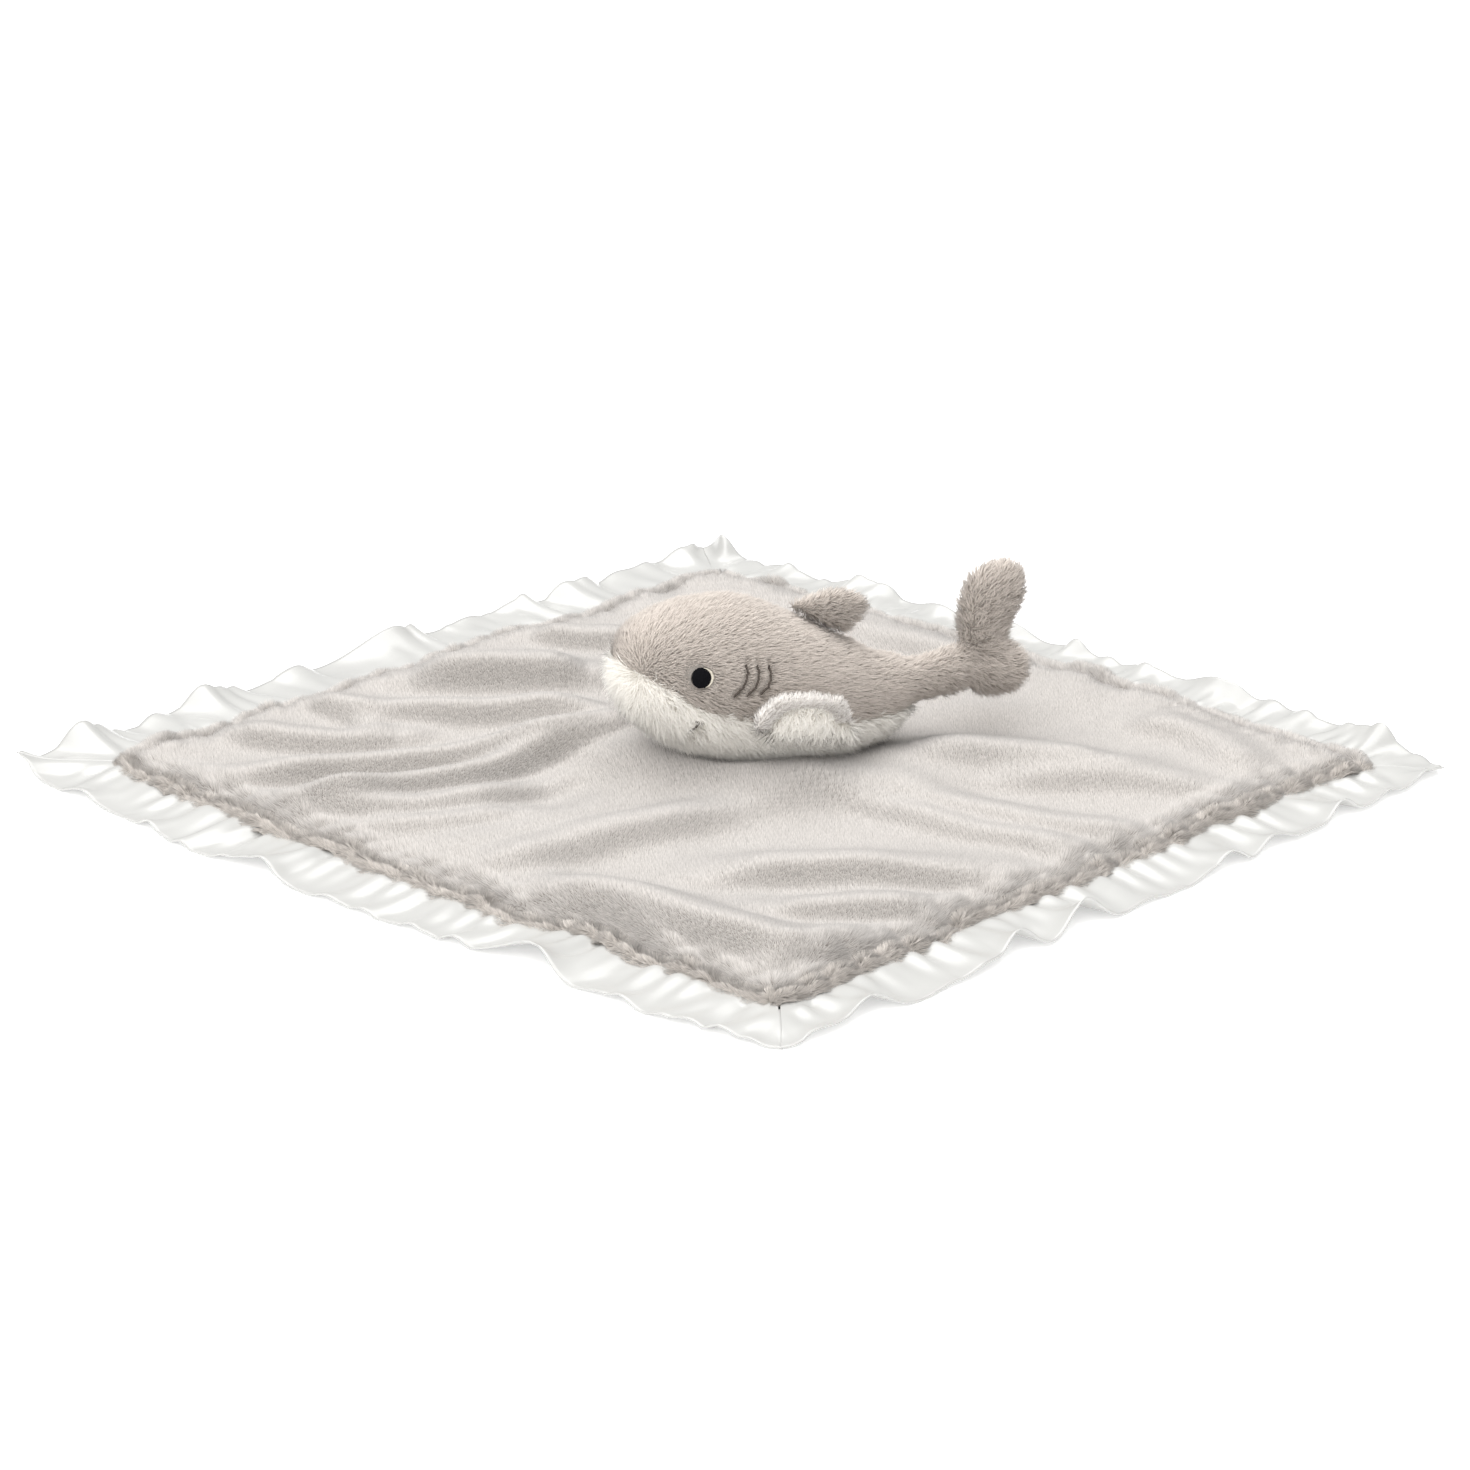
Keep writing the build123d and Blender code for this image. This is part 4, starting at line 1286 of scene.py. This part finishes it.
def embroidery(side):
    name = "left" if side > 0 else "right"
    on_eye = eye_plane(side)
    gills = [stitch for line in GILL_LINES for stitch in stem_stitches(line, side, 0.7, 0.15)]
    smile = [stitch for line in SMILE_LINES for stitch in stem_stitches(line, side, 0.2, 0.1)]
    for piece, lines, radius, look, colour, node in (
        ("eye_disc", eye_disc(on_eye), EYE_THREAD, BLACK_THREAD_LOOK, "black", "eye"),
        ("eye_crescent", eye_crescent(on_eye), CRESCENT_THREAD, CREAM_THREAD_LOOK, "cream", "eye_rim"),
        ("gill_threads", gills, GILL_THREAD, GREY_THREAD_LOOK, "grey", "gill_stitches"),
        ("smile_threads", smile, SMILE_THREAD, GREY_THREAD_LOOK, "grey", "mouth_stitch"),
    ):
        threads(f"{piece}_{name}", lines, radius, look, f"{node}_{name}")


def topstitch():
    """The sewn line that holds the hem: short stitches at the bottom of the groove."""
    stitch, gap = 3.0, 1.4
    rise = UP * np.array([0.1, 0.5, 0.5, 0.1])[:, None]
    lines = []
    for half, other, axis in ((CLOTH_X, CLOTH_Y, 0), (CLOTH_Y, CLOTH_X, 1)):
        for sign in (-1, 1):
            for start in np.arange(-half + HEM_INSET, half - HEM_INSET - stitch, stitch + gap):
                along = np.linspace(start, start + stitch, len(rise))
                across = np.full(len(rise), sign * (other - HEM_INSET))
                p, q = (along, across) if axis == 0 else (across, along)
                lines.append(plush_surface(p, q) + rise)
    threads("hem_topstitch", lines, HEM_THREAD, HEM_THREAD_LOOK, "blanket_topstitch",
            body="blanket")


# ---------------------------- the object
for piece in [plush_top(), plush_back(), *plush_pile(), *(satin_strip(side) for side in SIDES)]:
    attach(piece, "blanket")
topstitch()
shark()
dorsal_fin()
for side in ("left", "right"):
    pectoral_fin(side)
for side in (1, -1):
    embroidery(side)
for node, look in (("anchor_patch", FELT_LOOK), ("anchor_stitches", HEM_THREAD_LOOK)):
    frame["nodes"][node].data.materials.clear()
    frame["nodes"][node].data.materials.append(look)

# ---------------------------- floor, lights and camera
FLOOR_HALF = 6000.0
FLOOR_GLOW = 0.35  # a lit sweep, so shadows on it stay faint
WORLD_LIGHT = 0.5
WHITE = (1.0, 1.0, 1.0, 1.0)


def studio_floor():
    look = Nodes("floor", roughness=0.9, specular=0.0)
    look.surface.inputs["Emission Color"].default_value = WHITE
    look.surface.inputs["Emission Strength"].default_value = FLOOR_GLOW
    look.colour(look.ramp(look.noise(900.0, detail=1.0), [(0.0, grey(0.93)), (1.0, grey(0.95))]))
    corners = [(x * FLOOR_HALF, y * FLOOR_HALF, 0) for x, y in ((-1, -1), (1, -1), (1, 1), (-1, 1))]
    mesh_object("floor", corners, [(0, 1, 2, 3)], look.material)


def soft_light(name, towards, spread, strength):
    """Even light from a wide patch of the ceiling. towards points at the patch, and spread is its width in
    degrees."""
    lamp = bpy.data.lights.new(name, "SUN")
    lamp.angle = math.radians(spread)
    lamp.energy = strength
    made = bpy.data.objects.new(name, lamp)
    made.rotation_euler = Vector(towards).to_track_quat("Z", "Y").to_euler()
    bpy.context.scene.collection.objects.link(made)


def photo_camera():
    level, rise = math.cos(elevation), math.sin(elevation)
    back = Vector((math.sin(azimuth) * level, -math.cos(azimuth) * level, rise))
    lens = bpy.data.cameras.new("camera")
    lens.lens = CAMERA_LENS
    lens.sensor_width = 36.0
    lens.clip_end = 100.0
    camera = bpy.data.objects.new("camera", lens)
    camera.location = (Vector(CAMERA_TARGET) + back * CAMERA_DISTANCE) * MM
    camera.rotation_euler = back.to_track_quat("Z", "Y").to_euler()
    bpy.context.scene.collection.objects.link(camera)
    bpy.context.scene.camera = camera


studio_floor()
world = bpy.data.worlds.new("studio")
bpy.context.scene.world = world
world.use_nodes = True
world.node_tree.nodes["Background"].inputs["Color"].default_value = WHITE
world.node_tree.nodes["Background"].inputs["Strength"].default_value = WORLD_LIGHT
soft_light("key", (-0.14, -0.03, 1.0), 75, 3.3)
soft_light("fill", (0.45, -0.75, 0.70), 60, 1.45)
bpy.context.scene.view_settings.view_transform = "Standard"
photo_camera()
